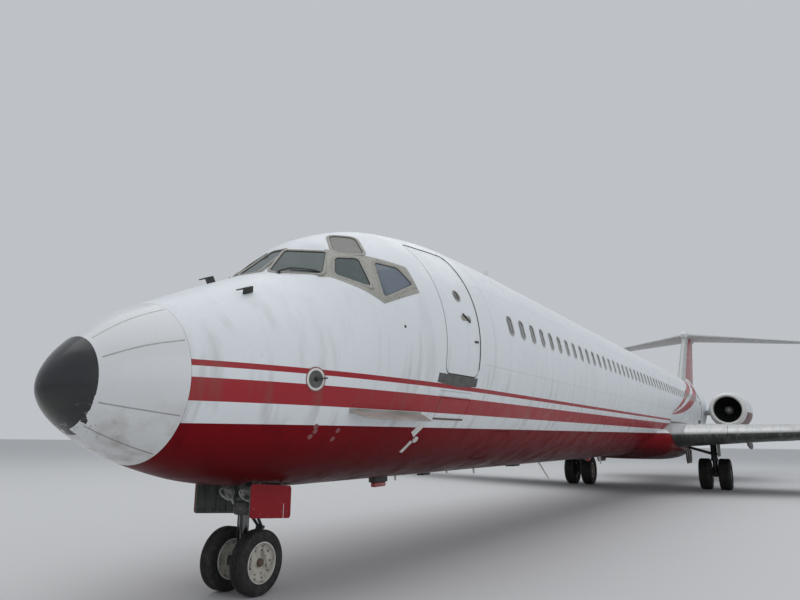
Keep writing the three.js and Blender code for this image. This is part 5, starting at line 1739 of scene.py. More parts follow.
lip_metal = Finish("lip_metal", 0.4, Metallic=0.35)
lip_tone = lip_metal.mix(lip_metal.noise(6, 4), (0.8, 0.8, 0.78), (0.62, 0.62, 0.6))
pits = lip_metal.fade(lip_metal.noise(60, 3), 0.66, 0.7)
lip_metal.set("Base Color", lip_metal.mix(pits, lip_tone, (0.25, 0.25, 0.24)))
lip_metal.dull(9, 4, 0.3, 0.7, 0.3, 0.5)
duct_paint = Finish("duct_paint", 0.5)
holes = duct_paint.seam(duct_paint.x, 0.03, 0.006) * duct_paint.seam(duct_paint.z, 0.03, 0.006)
duct_paint.set(
    "Base Color",
    duct_paint.mix(
        holes, duct_paint.mix(duct_paint.noise(5, 4), (0.05, 0.052, 0.055), (0.09, 0.09, 0.088)),
        (0.01, 0.01, 0.01),
    ),
)
fan_metal = Finish("fan_metal", 0.38, Metallic=0.8)
fan_metal.mottle((0.12, 0.125, 0.13), (0.07, 0.07, 0.072), 10, 4)
spinner_paint = Finish("spinner_paint", 0.42, Metallic=0.1)
spinner_paint.mottle((0.42, 0.42, 0.43), (0.28, 0.28, 0.28), 9, 5)
hot_metal = Finish("hot_metal", 0.42, Metallic=0.85)
heat = hot_metal.fade(hot_metal.x, ENGINE_NOSE + 5.3, ENGINE_NOSE + 6.9)
hot_tone = hot_metal.mix(heat, (0.4, 0.38, 0.35), (0.2, 0.165, 0.13))
blue = hot_metal.fade(hot_metal.noise(3, 4, (1, 2, 2)), 0.45, 0.7)
hot_tone = hot_metal.mix(blue * 0.5, hot_tone, (0.14, 0.15, 0.19))
hot_metal.set(
    "Base Color",
    hot_metal.mix(hot_metal.fade(hot_metal.noise(22, 4), 0.6, 0.7), hot_tone, (0.08, 0.07, 0.06)),
)
hot_metal.dull(7, 4, 0.3, 0.7, 0.3, 0.58)
hot_metal.bump(hot_metal.noise(12, 3), 0.25, 0.002)


def cowl_paint_of(name):
    """Cowl paint: white above, plain red below, with door seams, latch rows, oil runs and soot aft"""
    paint = Finish(name, 0.4, Specular_IOR_Level=0.25)
    tone = paint.mix(paint.fade(paint.noise(1.4, 4), 0.3, 0.7), WHITE, [0.88 * part for part in WHITE])
    low = paint.z < ENGINE_HEIGHT - 0.12
    tone = paint.mix(low, tone, (0.13, 0.035, 0.035))
    along = paint.x - ENGINE_NOSE
    seams = paint.between(along, 0.94, 0.947)
    for line in (2.35, 3.72, 4.52):
        seams = seams | paint.between(along, line, line + 0.007)
    keel = paint.between(abs(abs(paint.y) - ENGINE_SIDE), -0.004, 0.004)
    keel = keel * paint.between(along, 0.94, 4.52)
    level = paint.between(paint.z, ENGINE_HEIGHT + 0.3, ENGINE_HEIGHT + 0.307)
    level = level * paint.between(along, 0.94, 3.72)
    seams = seams | (keel | level)
    tone = paint.mix(seams * 0.7, tone, (0.05, 0.05, 0.05))
    rivets = paint.seam(along, 0.29, 0.005) * paint.seam(paint.z, 0.05, 0.006)
    tone = paint.mix(rivets * 0.4, tone, (0.15, 0.15, 0.15))
    oil = paint.fade(paint.noise(4, 5, (0.35, 1.2, 0.8)), 0.48, 0.75) * paint.fade(
        paint.z, ENGINE_HEIGHT + 0.5, ENGINE_HEIGHT - 0.8
    )
    tone = paint.mix(oil * 0.65, tone, (0.06, 0.045, 0.035))
    soot = paint.fade(along, 3.4, 5.4) * 0.35
    tone = paint.mix(soot, tone, (0.14, 0.12, 0.11))
    paint.set("Base Color", tone)
    paint.dull(4, 4, 0.3, 0.75, 0.26, 0.5)
    paint.bump(paint.math("MULTIPLY_ADD", seams, -0.6, paint.noise(2.4, 3)), 0.35, 0.004)
    return paint


cowl_paint = cowl_paint_of("cowl_paint")
FAN_TIP, FAN_HUB, FAN_LENGTH = 0.615, 0.19, 0.19
for side, sign in SIDES:
    line = Vector((ENGINE_NOSE, sign * ENGINE_SIDE, ENGINE_HEIGHT))
    fit(
        f"lip_{side}", engine_turned(LIP, sign), lip_metal,
        stands_for=[f"intake_lip_{side}"], crease=40,
    )
    cowl = engine_turned(COWL + [(5.3, 0.7), (5.28, 0.66), (0.3206, 0.66)], sign)
    fit(f"cowl_{side}", cowl, cowl_paint, stands_for=[f"nacelle_{side}"], crease=40)
    lining = engine_turned(
        [(0.3206, 0.659), (0.3206, 0.601), (0.45, 0.615), (0.85, DUCT), (1.28, DUCT), (1.28, 0.659)], sign
    )
    fit(f"intake_duct_{side}", lining, duct_paint)
    pipe = [
        (5.3006, 0.742), (5.6, 0.722), (5.9, 0.69), (6.4, 0.63), (6.9, 0.56), (6.9, 0.545), (6.895, 0.5),
        (6.5, 0.52), (5.9, 0.6), (5.3006, 0.66),
    ]
    fit(
        f"tail_pipe_{side}", engine_turned(pipe, sign), hot_metal,
        stands_for=[f"exhaust_{side}"], crease=40,
    )
    lobes = []
    for i in range(41):
        share = i / 40
        station = 5.0 + 0.55 * share
        ring = []
        for k in range(192):
            angle = 2 * math.pi * k / 192
            wave = 0.5 + 0.5 * math.cos(12 * angle)
            radius = 0.42 + share * 0.16 * wave - share * 0.06 * (1 - wave)
            ring.append(line + Vector((station, radius * math.cos(angle), radius * math.sin(angle))))
        lobes.append(ring)
    mixer = loft(lobes)
    plug = engine_turned(
        [(5.0, 0.02), (5.0, 0.3), (5.3, 0.27), (5.7, 0.16), (5.95, 0.05), (6.0, 0.01)], sign, 48,
        closed=False,
    )
    block = engine_turned(
        [(1.24, 0.01), (1.24, DUCT - 0.001), (5.2, DUCT - 0.001), (5.2, 0.01)], sign, 64, closed=False
    )
    shaft = engine_turned([(1.04, 0.01), (1.04, 0.069), (1.25, 0.069), (1.25, 0.01)], sign, 40, closed=False)
    fit(
        f"engine_block_{side}", carve(block, shaft, "UNION"), duct_paint,
        stands_for=[f"engine_{side}"],
    )
    fit(f"mixer_{side}", mixer, hot_metal, crease=60)
    fit(f"tail_plug_{side}", plug, hot_metal, crease=40)

    hub_rows = [
        (0.65, 0.001), (0.655, 0.022), (0.67, 0.045), (0.7, 0.073), (0.76, 0.112), (0.83, 0.144),
        (0.89, 0.166), (0.955, 0.184), (0.98, FAN_HUB),
    ]
    spinner = engine_turned(hub_rows + [(0.985, FAN_HUB), (0.985, 0.001)], sign, 64, closed=False)
    fit(f"spinner_{side}", spinner, spinner_paint, f"fan_wheel_{side}", crease=30)
    hub = engine_turned([(0.986, 0.08), (0.986, FAN_HUB), (1.17, FAN_HUB), (1.17, 0.08)], sign, 64)
    rings = []
    for i in range(9):
        share = i / 8
        radius = FAN_HUB - 0.01 + (FAN_TIP - FAN_HUB + 0.01) * share
        twist = math.radians(28 + 34 * share)
        chord = 0.105 + 0.035 * share
        ring = []
        for t, off in (
            (-0.5, 0), (-0.25, 0.006), (0, 0.008), (0.25, 0.006), (0.5, 0), (0.25, -0.002), (0, -0.003),
            (-0.25, -0.002),
        ):
            flat = Vector((t * chord, off * (1.3 - 0.6 * share)))
            ring.append(
                Vector(
                    (
                        flat.x * math.cos(twist) - flat.y * math.sin(twist),
                        flat.x * math.sin(twist) + flat.y * math.cos(twist), radius,
                    )
                )
            )
        rings.append(ring)
    blade = loft(rings)
    centre = line + Vector((FAN_FACE + FAN_LENGTH / 2, 0, 0))
    around = [Matrix.Translation(centre) @ Matrix.Rotation(2 * math.pi * i / 34, 4, "X") for i in range(34)]
    wheel = joined([hub, scatter(f"fan_blades_{side}", fan_metal, blade, around)])
    fit(f"fan_blades_{side}", wheel, fan_metal, f"fan_wheel_{side}", [f"fan_{side}"], 40)

    pylon_rings = []
    for i in range(13):
        share = i / 12
        off = 0.9 + 1.5 * share
        nose, chord = 31.3 + 0.6 * share, 5.3 - 1.0 * share
        pylon_rings.append(Section(off, nose, chord, ENGINE_HEIGHT, 0.07, sign).ring())
    outer = [(0.0, 0.001), (0.32, 0.8)] + COWL[1:] + [(5.9, 0.69), (6.9, 0.56), (6.9, 0.001)]
    cutter = engine_turned([(x, r + 0.001) for x, r in outer], sign, closed=False)
    pylon = carve(carve(loft(pylon_rings), cutter), barrel(30.6, 39, 0.3, -0.02))
    fit(f"pylon_{side}_skin", pylon, cowl_paint, stands_for=[f"pylon_{side}"], crease=30)

# Nose gear bay and doors: a box lined with primed sheet and stiffened by ribs, and two red doors on
# gooseneck arms that hang open beside the leg. Their inner sides are grey green pressed pans.
gear_paint = Finish("gear_paint", 0.42, Metallic=0.25)
gear_tone = gear_paint.mix(
    gear_paint.fade(gear_paint.noise(8, 5), 0.35, 0.7), (0.045, 0.048, 0.052), (0.085, 0.085, 0.083)
)
grease = gear_paint.fade(gear_paint.noise(18, 4, (1, 1, 0.4)), 0.56, 0.72)
gear_paint.set("Base Color", gear_paint.mix(grease * 0.6, gear_tone, (0.12, 0.09, 0.06)))
gear_paint.dull(10, 4, 0.3, 0.7, 0.3, 0.6)
gear_paint.bump(gear_paint.noise(40, 3), 0.25, 0.001)
# Slide chrome darkened with painted shade, as the slides stand in shade under the aircraft
shaded_chrome = Finish("slide_chrome", 0.24, Metallic=1.0).mottle((0.2, 0.2, 0.2), (0.12, 0.12, 0.12), 12, 3)
primer = Finish("bay_primer", 0.6)
primer_tone = primer.mix(primer.fade(primer.noise(5, 5), 0.3, 0.7), (0.12, 0.135, 0.12), (0.07, 0.078, 0.07))
primer_dirt = primer.fade(primer.noise(16, 4), 0.55, 0.7)
primer.set("Base Color", primer.mix(primer_dirt * 0.6, primer_tone, (0.04, 0.036, 0.03)))
primer.bump(primer.noise(30, 3), 0.25, 0.001)
door_red = Finish("door_red_paint", 0.42, Specular_IOR_Level=0.2)
door_tone = door_red.mix(
    door_red.fade(door_red.noise(3, 4), 0.3, 0.7), (0.3, 0.009, 0.016), (0.22, 0.007, 0.012)
)
chips = door_red.fade(door_red.noise(34, 4), 0.68, 0.72) * door_red.fade(door_red.z, 1.0, 0.78)
mark = door_red.between(door_red.x, 2.578, 2.586) * door_red.between(door_red.z, 0.7, 0.92)
door_tone = door_red.mix(mark, door_tone, (0.7, 0.7, 0.7))
door_red.set("Base Color", door_red.mix(chips, door_tone, (0.5, 0.48, 0.46)))
door_red.bump(door_red.noise(4, 3), 0.3, 0.003)

bay_front, bay_back, bay_half, bay_roof = NOSE_BAY
bay_middle = Vector(((bay_front + bay_back) / 2, 0, 1.35))
bay_size = Vector((bay_back - bay_front, 2 * bay_half, 0))


def bay_block(shrink, low, high):
    size = (bay_size.x - 2 * shrink, bay_size.y - 2 * shrink, high - low)
    return box_shape(size, 0, Vector((bay_middle.x, 0, (low + high) / 2)))


lining = carve(bay_block(0.0005, 0.9, bay_roof - 0.0005), bay_block(0.006, 0.8, bay_roof - 0.006))
bay_ribs = [
    box_shape((0.014, 0.03, 0.5), 0.003, Vector((x, y, 1.46)))
    for x in (2.2, 2.36, 2.5, 2.62)
    for y in (-0.349, 0.349)
]
bay_ribs += [box_shape((0.03, 0.3, 0.014), 0.003, Vector((2.7 - 0.001, 0, z))) for z in (1.3, 1.42, 1.54)]
lining = carve(lining, barrel(2.0, 2.8, 0.04, -0.004), "INTERSECT")
fit("nose_bay_lining", lining, primer, crease=25)
fit("nose_bay_ribs", joined(bay_ribs), primer, crease=25)

DOOR_LOW, DOOR_HIGH = 0.785, 1.125
DOOR_SLANT = Matrix(((1, 0, 0, 0), (0, 1, 0, 0), (-0.09, 0, 1, 0.09 * bay_middle.x), (0, 0, 0, 1)))
for side, sign in SIDES:
    def plate(near, far, grow, radius=0.035):
        width, height = bay_size.x - 0.02 + 2 * grow, DOOR_HIGH - DOOR_LOW + 2 * grow
        outline = rounded(width, height, radius, 5)
        ahead, level = bay_front + 0.31, (DOOR_LOW + DOOR_HIGH) / 2
        return prism([(ahead + x, level + z) for x, z in outline], near, far, sign)

    outer = carve(plate(0.402, 0.411, 0), plate(0.398, 0.4075, -0.012, 0.03))
    outer.transform(DOOR_SLANT)
    fit(
        f"nose_door_{side}_skin", outer, door_red, stands_for=[f"nose_door_{side}"],
        crease=25,
    )
    pan = carve(plate(0.384, 0.4015, -0.003), plate(0.38, 0.3985, -0.03, 0.03))
    stiffeners = [
        box_shape((0.018, 0.014, 0.28), 0.003, Vector((x, sign * 0.392, 0.955))) for x in (2.24, 2.39, 2.54)
    ]
    stiffeners.append(box_shape((0.54, 0.012, 0.016), 0.003, Vector((2.39, sign * 0.3935, 0.93))))
    pan = joined([pan] + stiffeners)
    pan.transform(DOOR_SLANT)
    fit(f"nose_door_{side}_pan", pan, primer, crease=25)
    arms = []
    for x in (2.22, 2.56):
        arms.append(
            tube(
                [
                    (x, sign * 0.39, 1.05), (x, sign * 0.386, 1.14), (x, sign * 0.362, 1.2),
                    (x, sign * 0.34, 1.26),
                ],
                0.014, 12,
            )
        )
        arms.append(box_shape((0.05, 0.01, 0.07), 0.003, Vector((x, sign * 0.39, 1.07))))
    arms.append(
        tube([(2.39, sign * 0.386, 0.97), (2.4, sign * 0.3, 1.22), (2.4, sign * 0.2, 1.36)], 0.009, 10)
    )
    fit(f"nose_door_{side}_arms", joined(arms), gear_paint)

# Nose gear leg: a forged casing on trunnions with a drag brace, a steering collar, a chromed slide,
# torque links behind, taxi lamps in front and an axle for two wheels. It all turns below the casing.
WHEEL_X, WHEEL_Z = 2.42, 0.33
leg_line = (WHEEL_X, 0, 0)
casing = [
    (0.9416, 0.06), (0.9416, 0.1), (0.955, 0.106), (0.985, 0.106), (1.0, 0.096), (1.12, 0.09),
    (1.14, 0.098), (1.18, 0.098),
    (1.2, 0.088), (1.42, 0.088), (1.44, 0.098), (1.5, 0.098), (1.52, 0.086), (1.7194, 0.086), (1.7194, 0.06),
]
casing_mesh = turned_about([(0.9416, 0.001)] + casing[1:-1] + [(1.7194, 0.001)], leg_line, "Z", 40)
trunnion = crossbar((WHEEL_X, 0, 1.47), 0.362, 0.05, 24)
casing_mesh = carve(casing_mesh, trunnion, "UNION")
casing_mesh = carve(casing_mesh, turned_about([(0.9, 0.059), (1.081, 0.059)], leg_line, "Z", 32))
brace = [
    tube([(2.4, 0, 1.07), (2.15, 0, 1.42)], (0.04, 0.034), 20),
    crossbar((2.15, 0, 1.42), 0.362, 0.042, 24),
    crossbar((2.33, 0, 1.166), 0.052, 0.022, 16),
]
hoses = [
    tube(
        [
            (WHEEL_X + 0.1, y, 1.66), (WHEEL_X + 0.105, y * 1.2, 1.4), (WHEEL_X + 0.112, y, 1.15),
            (WHEEL_X + 0.1, y, 0.99),
        ],
        0.008, 8,
    )
    for y in (-0.03, 0.0, 0.03)
]
fit("nose_leg_casing", casing_mesh, gear_paint, stands_for=["nose_leg"])
fit("nose_leg_brace", joined(brace), gear_paint)
fit("nose_leg_pipes", joined(hoses), black_parts)

collar = turned_about([
    (0.8, 0.001), (0.8, 0.1), (0.806, 0.112), (0.83, 0.118), (0.91, 0.118), (0.932, 0.112), (0.94, 0.1),
    (0.94, 0.057), (1.079, 0.057), (1.079, 0.001),
], leg_line, "Z", 40)
lower = turned_about(
    [
        (0.262, 0.001), (0.262, 0.05), (0.275, 0.062), (0.4, 0.068), (0.46, 0.075), (0.48, 0.07),
        (0.5, 0.06), (0.5, 0.001),
    ],
    leg_line, "Z", 32,
)
axle_block = turned_about(
    [(-0.095, 0.001), (-0.095, 0.058), (-0.085, 0.066), (0.085, 0.066), (0.095, 0.058), (0.095, 0.001)],
    (WHEEL_X, 0, WHEEL_Z), "Y", 32,
)
lower = carve(
    carve(lower, axle_block, "UNION"),
    turned_about([(-0.12, 0.0347), (0.12, 0.0347)], (WHEEL_X, 0, WHEEL_Z), "Y", 24),
)
slide = turned_about([(0.499, 0.001), (0.499, 0.056), (0.802, 0.056), (0.802, 0.001)], leg_line, "Z", 40)
tow = box_shape((0.165, 0.1, 0.064), 0.006, Vector((2.3325, 0, 0.33)))


def torque_links(y, hinges, narrow, radii, bar, pins):
    """Two arms hinged behind a slide. Hinges: x, z, half width. Pins: x, z, half length, radius"""
    links = []
    for (xa, za, wa), (xb, zb, wb) in zip(hinges, hinges[1:]):
        for way in (-1, 1):
            links.append(tube([(xa, y + way * wa, za), (xb, y + way * wb * narrow, zb)], radii, 12))
        links.append(crossbar(((xa + xb) / 2, y, (za + zb) / 2), wa * 0.8, bar, 10))
    return links + [crossbar((x, y, z), half, radius, 16) for x, z, half, radius in pins]


NOSE_HINGES = [(2.5, 0.865, 0.06), (2.68, 0.64, 0.028), (2.475, 0.42, 0.05)]
NOSE_PINS = [(2.68, 0.64, 0.05, 0.02), (2.5, 0.865, 0.075, 0.022), (2.475, 0.42, 0.065, 0.022)]
links = torque_links(0, NOSE_HINGES, 0.8, (0.02, 0.016), 0.012, NOSE_PINS)
links.append(box_shape((0.07, 0.08, 0.05), 0.01, Vector((2.46, 0, 0.42))))
bolts = [
    Matrix.Translation(
        (WHEEL_X + 0.112 * math.cos(a), 0.112 * math.sin(a), 0.87)
    ) @ Matrix.Rotation(a, 4, "Z") @ Matrix.Rotation(math.pi / 2, 4, "Y")
    for a in [math.pi / 8 + i * math.pi / 4 for i in range(8)]
]
fit("nose_steering_collar", collar, gear_paint, "nose_strut", ["nose_steering"])
fit("nose_axle_block", lower, gear_paint, "nose_strut")
fit("nose_slide", slide, shaded_chrome, "nose_strut")
fit("nose_tow_block", tow, gear_paint, "nose_strut")
fit("nose_torque_links", joined(links), gear_paint, "nose_strut")
collar_bolts = scatter(
    "nose_collar_bolts", screw_metal, turned_shape([(0.014, 0), (0.014, 0.008), (0.01, 0.012)], 6), bolts
)
fit("nose_collar_bolts", collar_bolts, screw_metal, "nose_strut")
lamp_white = Finish("lamp_housing", 0.4, Metallic=0.2)
lamp_white.set(
    "Base Color",
    lamp_white.mix(lamp_white.fade(lamp_white.noise(16, 4), 0.4, 0.7), (0.6, 0.6, 0.57), (0.4, 0.39, 0.35)),
)
lens = Finish("lamp_lens", 0.06, Coat_Weight=1.0, Coat_Roughness=0.02)
lens.set("Base Color", lens.mix(lens.seam(lens.y, 0.014, 0.0025), (0.06, 0.065, 0.065), (0.03, 0.03, 0.03)))
lens.bump(lens.seam(lens.z, 0.012, 0.003), 0.3, 0.001)
housings, lenses = [], []
for sign in (-1, 1):
    at = (WHEEL_X - 0.05, sign * 0.145, 1.09)
    tilt = Matrix.Translation(at) @ Matrix.Rotation(-0.7, 4, "Y") @ Matrix.Translation(-Vector(at))
    housings.append(
        turned_about(
            [
                (-0.122, 0.076), (-0.13, 0.08), (-0.13, 0.084), (-0.12, 0.084), (-0.09, 0.08),
                (-0.05, 0.064), (-0.025, 0.036), (-0.02, 0.001), (-0.03, 0.001), (-0.06, 0.05),
                (-0.1, 0.074),
            ],
            at, "X", 32, ring=True,
        )
    )
    housings[-1].transform(tilt)
    housings.append(
        tube(
            [
                (WHEEL_X - 0.03, sign * 0.1, 0.88), (WHEEL_X - 0.05, sign * 0.145, 0.95),
                (WHEEL_X - 0.06, sign * 0.15, 1.05),
            ],
            0.014, 12,
        )
    )
    lenses.append(
        turned_about(
            [
                (-0.105, 0.001), (-0.105, 0.073), (-0.118, 0.0755), (-0.126, 0.055), (-0.129, 0.025),
                (-0.13, 0.001),
            ],
            at, "X", 32,
        )
    )
    lenses[-1].transform(tilt)
fit("taxi_lamp_housings", joined(housings), lamp_white, "nose_strut")
fit("taxi_lamp_lenses", joined(lenses), lens, "nose_strut")
strut_pipes = [
    tube(
        [(2.36, y, 0.94), (2.345, y, 0.78), (2.35, y * 1.3, 0.6), (2.37, y * 1.6, 0.44)], 0.007, 8
    ) for y in (-0.03, 0.012)
]
fit("nose_strut_pipes", joined(strut_pipes), black_parts, "nose_strut")

# Wheels and tyres: forged two part hubs, off white and streaked with brake dust, on ribbed tyres
# with plain sidewalls, dull with dust and scuffed round the shoulders
tyre_rubber = Finish("tyre_rubber", 0.8)
tread_dust = tyre_rubber.fade(tyre_rubber.noise(7, 5), 0.35, 0.75)
rubber_tone = tyre_rubber.mix(tread_dust, (0.006, 0.006, 0.007), (0.022, 0.021, 0.02))
foot_dust = tyre_rubber.fade(tyre_rubber.noise(26, 5), 0.45, 0.7) * 0.6
tyre_rubber.set("Base Color", tyre_rubber.mix(foot_dust, rubber_tone, (0.05, 0.047, 0.042)))
tyre_rubber.dull(12, 4, 0.3, 0.7, 0.62, 0.9)
tyre_rubber.bump(tyre_rubber.noise(60, 4), 0.3, 0.001)
hub_paint = Finish("hub_paint", 0.48, Metallic=0.1)
hub_tone = hub_paint.mix(
    hub_paint.fade(hub_paint.noise(9, 4), 0.3, 0.7), (0.6, 0.58, 0.51), (0.44, 0.42, 0.36)
)
brake_dust = hub_paint.fade(hub_paint.noise(14, 5, (1, 1, 0.35)), 0.5, 0.66) * 0.75
hub_paint.set("Base Color", hub_paint.mix(brake_dust, hub_tone, (0.16, 0.13, 0.1)))
hub_paint.dull(12, 4, 0.3, 0.7, 0.36, 0.62)
hub_paint.bump(hub_paint.noise(50, 3), 0.2, 0.001)


def tyre_rows(radius, width, rim, grooves):
    """Half section of a tyre, bead to middle, then mirrored, with its grooves cut in the tread"""
    half, wall = width / 2, radius - rim
    side_rows = [
        (0.66, -0.004), (0.74, 0.0), (0.86, 0.1), (0.95, 0.28), (0.995, 0.45), (1.0, 0.56), (0.985, 0.7),
        (0.94, 0.83), (0.86, 0.92), (0.76, 0.972), (0.62, 0.995), (0.5, 1.0),
    ]
    rows = [(-share * half, rim + lift * wall) for share, lift in side_rows]
    cut = 0.03 * radius
    for middle in grooves:
        rows += [
            (middle * half - 0.05 * half, radius), (middle * half - 0.035 * half, radius - cut),
            (middle * half + 0.035 * half, radius - cut), (middle * half + 0.05 * half, radius),
        ]
    rows += [(share * half, rim + lift * wall) for share, lift in reversed(side_rows)]
    return rows


HUB_SHARE = 0.36


def hub_mesh(centre, radius, width, rim, bolts_at, hole_count, hole_radius, cap):
    """A hub: flanges and a dished web with holes through it, with the places for its ring of bolts"""
    half = HUB_SHARE * width
    flange = [
        (half + 0.004, 0.955 * rim), (half + 0.012, 0.975 * rim), (half + 0.014, 1.01 * rim),
        (half + 0.006, 1.03 * rim), (half - 0.012, 1.015 * rim), (half - 0.03, 0.985 * rim),
    ]
    web = [
        (0.36 * half, 0.3 * rim), (0.42 * half, 0.5 * rim), (0.34 * half, 0.74 * rim),
        (0.5 * half, 0.86 * rim), (0.8 * half, 0.925 * rim),
    ]
    rows = [(0.62 * half, 0.001), (0.62 * half, 0.24 * rim), (0.5 * half, 0.27 * rim)] + web + flange
    rows += [(-along, size) for along, size in reversed(rows)]
    hub = turned_about(rows, centre, "Y", 64)
    cuts = []
    for i in range(hole_count):
        angle = 2 * math.pi * (i + 0.5) / hole_count
        at = Vector(centre) + Vector((math.cos(angle), 0, math.sin(angle))) * 0.62 * rim
        cuts.append(crossbar(at, width, hole_radius, 16))
    hub = carve(hub, joined(cuts))
    places = []
    for outward in (-1, 1):
        for i in range(bolts_at):
            angle = 2 * math.pi * i / bolts_at
            at = Vector(centre) + Vector(
                (math.cos(angle) * 0.83 * rim, outward * 0.45 * half, math.sin(angle) * 0.83 * rim)
            )
            places.append(Matrix.Translation(at) @ Matrix.Rotation(-outward * math.pi / 2, 4, "X"))
    return hub, places


def fit_wheels(name, body, middle, spec, node, tyres):
    """A pair of wheels on one axle with their tyres, hubs, bolts and caps"""
    offset, radius, width, rim, axle, grooves, bolt_count, hole_count, hole_radius = spec
    hubs, caps, bolt_places = [], [], []
    for sign in (-1, 1):
        centre = middle + Vector((0, sign * offset, 0))
        tyre = turned_about(tyre_rows(radius, width, rim, grooves), centre, "Y", 96, ring=True)
        fit(f"{tyres[sign]}_rubber", tyre, tyre_rubber, body, [tyres[sign]], 35)
        hub, places = hub_mesh(centre, radius, width, rim, bolt_count, hole_count, hole_radius, axle)
        hubs.append(hub)
        bolt_places += places
        reach = HUB_SHARE * width * 0.62
        cap = [
            (reach - 0.004, 0.001), (reach - 0.004, 0.22 * rim), (reach + 0.014, 0.215 * rim),
            (reach + 0.03, 0.18 * rim), (reach + 0.036, 0.12 * rim), (reach + 0.037, 0.001),
        ]
        caps.append(turned_about([(sign * along, size) for along, size in cap], centre, "Y", 32))
    axle_bar = turned_about(
        [(-offset, 0.001), (-offset, axle - 0.0004), (offset, axle - 0.0004), (offset, 0.001)], middle, "Y",
        32,
    )
    fit(f"{name}_hubs", joined(hubs), hub_paint, body, [node], 35)
    fit(f"{name}_axle", axle_bar, gear_paint, body)
    fit(f"{name}_caps", joined(caps), gear_brown, body)
    rims = []
    for sign in (-1, 1):
        for outward in (-1, 1):
            face = [
                (HUB_SHARE * width + a, b * rim)
                for a, b in ((0.0145, 0.99), (0.0175, 1.0), (0.0175, 1.035), (0.0145, 1.045))
            ]
            centre = middle + Vector((0, sign * offset, 0))
            rims.append(turned_about([(outward * a, b) for a, b in face], centre, "Y", 64, ring=True))
    fit(f"{name}_rims", joined(rims), lip_metal, body)
    size = rim / 0.2
    unit = turned_shape(
        [(0.011 * size, -0.003), (0.011 * size, 0.01 * size), (0.006 * size, 0.012 * size)], 6
    )
    fit(f"{name}_bolts", scatter(f"{name}_bolts", screw_metal, unit, bolt_places), screw_metal, body)


NOSE_TREAD = (-0.3, 0, 0.3)
nose_spec = (0.215, 0.33, 0.168, 0.2, 0.034, NOSE_TREAD, 10, 8, 0.011)
fit_wheels(
    "nose_wheels", "nose_wheel_pair", Vector((WHEEL_X, 0, WHEEL_Z)), nose_spec, "nose_wheels",
    {-1: "nose_tyre_left", 1: "nose_tyre_right"},
)

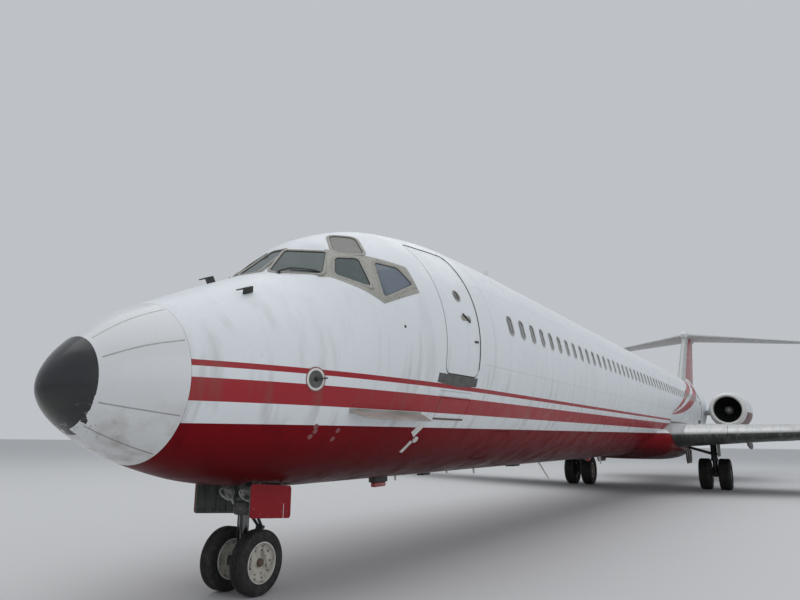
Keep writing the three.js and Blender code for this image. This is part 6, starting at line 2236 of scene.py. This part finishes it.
# Main gear: a forged oleo leg on each wing spar with a side brace, torque links behind, a chromed
# slide, brake packs on a two wheel axle, and a door fixed to the leg that closes its well
MAIN_X, MAIN_Z, MAIN_Y = 24.5, 0.3311, 2.54
MAIN_HINGES = [(24.6, 0.87, 0.075), (24.83, 0.62, 0.035), (24.57, 0.42, 0.06)]
MAIN_PINS = [(24.6, 0.87, 0.095, 0.03), (24.83, 0.62, 0.06, 0.03), (24.57, 0.42, 0.08, 0.03)]
main_spec = (0.335, 0.565, 0.42, 0.27, 0.052, (-0.36, -0.12, 0.12, 0.36), 12, 9, 0.026)
for side, sign in SIDES:
    y = sign * MAIN_Y
    line = (MAIN_X, y, 0)
    casing = turned_about([
        (0.8, 0.001), (0.8, 0.1), (0.808, 0.115), (0.84, 0.125), (0.9, 0.125), (0.93, 0.112), (1.02, 0.108),
        (1.03, 0.12),
        (1.09, 0.12), (1.1, 0.108), (1.4, 0.112), (1.5, 0.125), (1.7994, 0.125), (1.7994, 0.001),
    ], line, "Z", 40)
    lower = turned_about(
        [
            (0.22, 0.001), (0.22, 0.06), (0.24, 0.085), (0.44, 0.092), (0.52, 0.1), (0.55, 0.09),
            (0.56, 0.08), (0.56, 0.001),
        ],
        line, "Z", 32,
    )
    beam = turned_about(
        [(-0.105, 0.001), (-0.105, 0.088), (-0.092, 0.096), (0.092, 0.096), (0.105, 0.088), (0.105, 0.001)],
        (MAIN_X, y, MAIN_Z), "Y", 32,
    )
    lower = carve(
        carve(lower, beam, "UNION"),
        turned_about([(-0.13, 0.0528), (0.13, 0.0528)], (MAIN_X, y, MAIN_Z), "Y", 24),
    )
    slide = turned_about([(0.559, 0.001), (0.559, 0.08), (0.802, 0.08), (0.802, 0.001)], line, "Z", 40)
    brace = carve(tube([(MAIN_X, y, 1.05), (MAIN_X, sign * 1.5, 1.35)], (0.055, 0.048), 20), filled)
    brace = carve(brace, casing)
    links = torque_links(y, MAIN_HINGES, 1, (0.028, 0.022), 0.016, MAIN_PINS)
    links.append(box_shape((0.1, 0.1, 0.06), 0.012, Vector((24.55, y, 0.42))))
    brakes = []
    for out in (-1, 1):
        rows = [
            (0.116, 0.001), (0.116, 0.17), (0.12, 0.19), (0.13, 0.2), (0.165, 0.2), (0.172, 0.19),
            (0.176, 0.001),
        ]
        disc = turned_about([(out * along, r) for along, r in rows], (MAIN_X, y, MAIN_Z), "Y", 48)
        brakes.append(carve(disc, turned_about([(-0.3, 0.056), (0.3, 0.056)], (MAIN_X, y, MAIN_Z), "Y", 24)))
        for i in range(6):
            a = 2 * math.pi * i / 6
            at = Vector((MAIN_X + 0.15 * math.cos(a), y, MAIN_Z + 0.15 * math.sin(a)))
            brakes.append(
                tube([at + Vector((0, out * 0.108, 0)), at + Vector((0, out * 0.118, 0))], 0.024, 16)
            )
    pipes = [
        tube(
            [
                (24.39, y + off, 1.6), (24.375, y + off, 1.2), (24.378, y + off, 0.86),
                (24.4, y + off * 1.6, 0.6), (24.42, y + off * 2.6, 0.42),
            ],
            0.009, 8,
        )
        for off in (-0.04, 0.0, 0.04)
    ]
    fit(f"main_leg_{side}_casing", casing, gear_paint, stands_for=[f"main_leg_{side}"])
    fit(f"main_leg_{side}_axle", lower, gear_paint)
    fit(f"main_leg_{side}_slide", slide, shaded_chrome)
    fit(f"main_leg_{side}_brace", brace, gear_paint)
    fit(f"main_leg_{side}_links", joined(links), gear_paint)
    fit(f"main_leg_{side}_brakes", joined(brakes), gear_paint)
    fit(f"main_leg_{side}_pipes", joined(pipes), black_parts)
    near, far = y + sign * 0.165, y + sign * 0.19
    outline = [(24.05, 1.43), (24.05, 1.05), (24.12, 0.97), (24.88, 0.97), (24.95, 1.05), (24.95, 1.43)]
    door = prism(outline, near, far)
    pan = [(24.1, 1.39), (24.1, 1.07), (24.15, 1.01), (24.85, 1.01), (24.9, 1.07), (24.9, 1.39)]
    door = carve(door, prism(pan, near - sign * 0.01, near + sign * 0.012))
    for z in (1.08, 1.32):
        post = tube([(MAIN_X, y + sign * 0.1, z), (MAIN_X, near + sign * 0.014, z)], 0.03, 20)
        door = carve(door, carve(post, turned_about([(0.9, 0.1256), (1.5, 0.1256)], line, "Z", 40)), "UNION")
    fit(
        f"main_door_{side}_panel", door, primer, stands_for=[f"main_door_{side}"],
        crease=30,
    )
    tyres = {-sign: f"main_tyre_{side}_inner", sign: f"main_tyre_{side}_outer"}
    fit_wheels(
        f"main_wheels_{side}", f"main_wheel_pair_{side}", Vector((MAIN_X, y, MAIN_Z)), main_spec,
        f"main_wheels_{side}", tyres,
    )
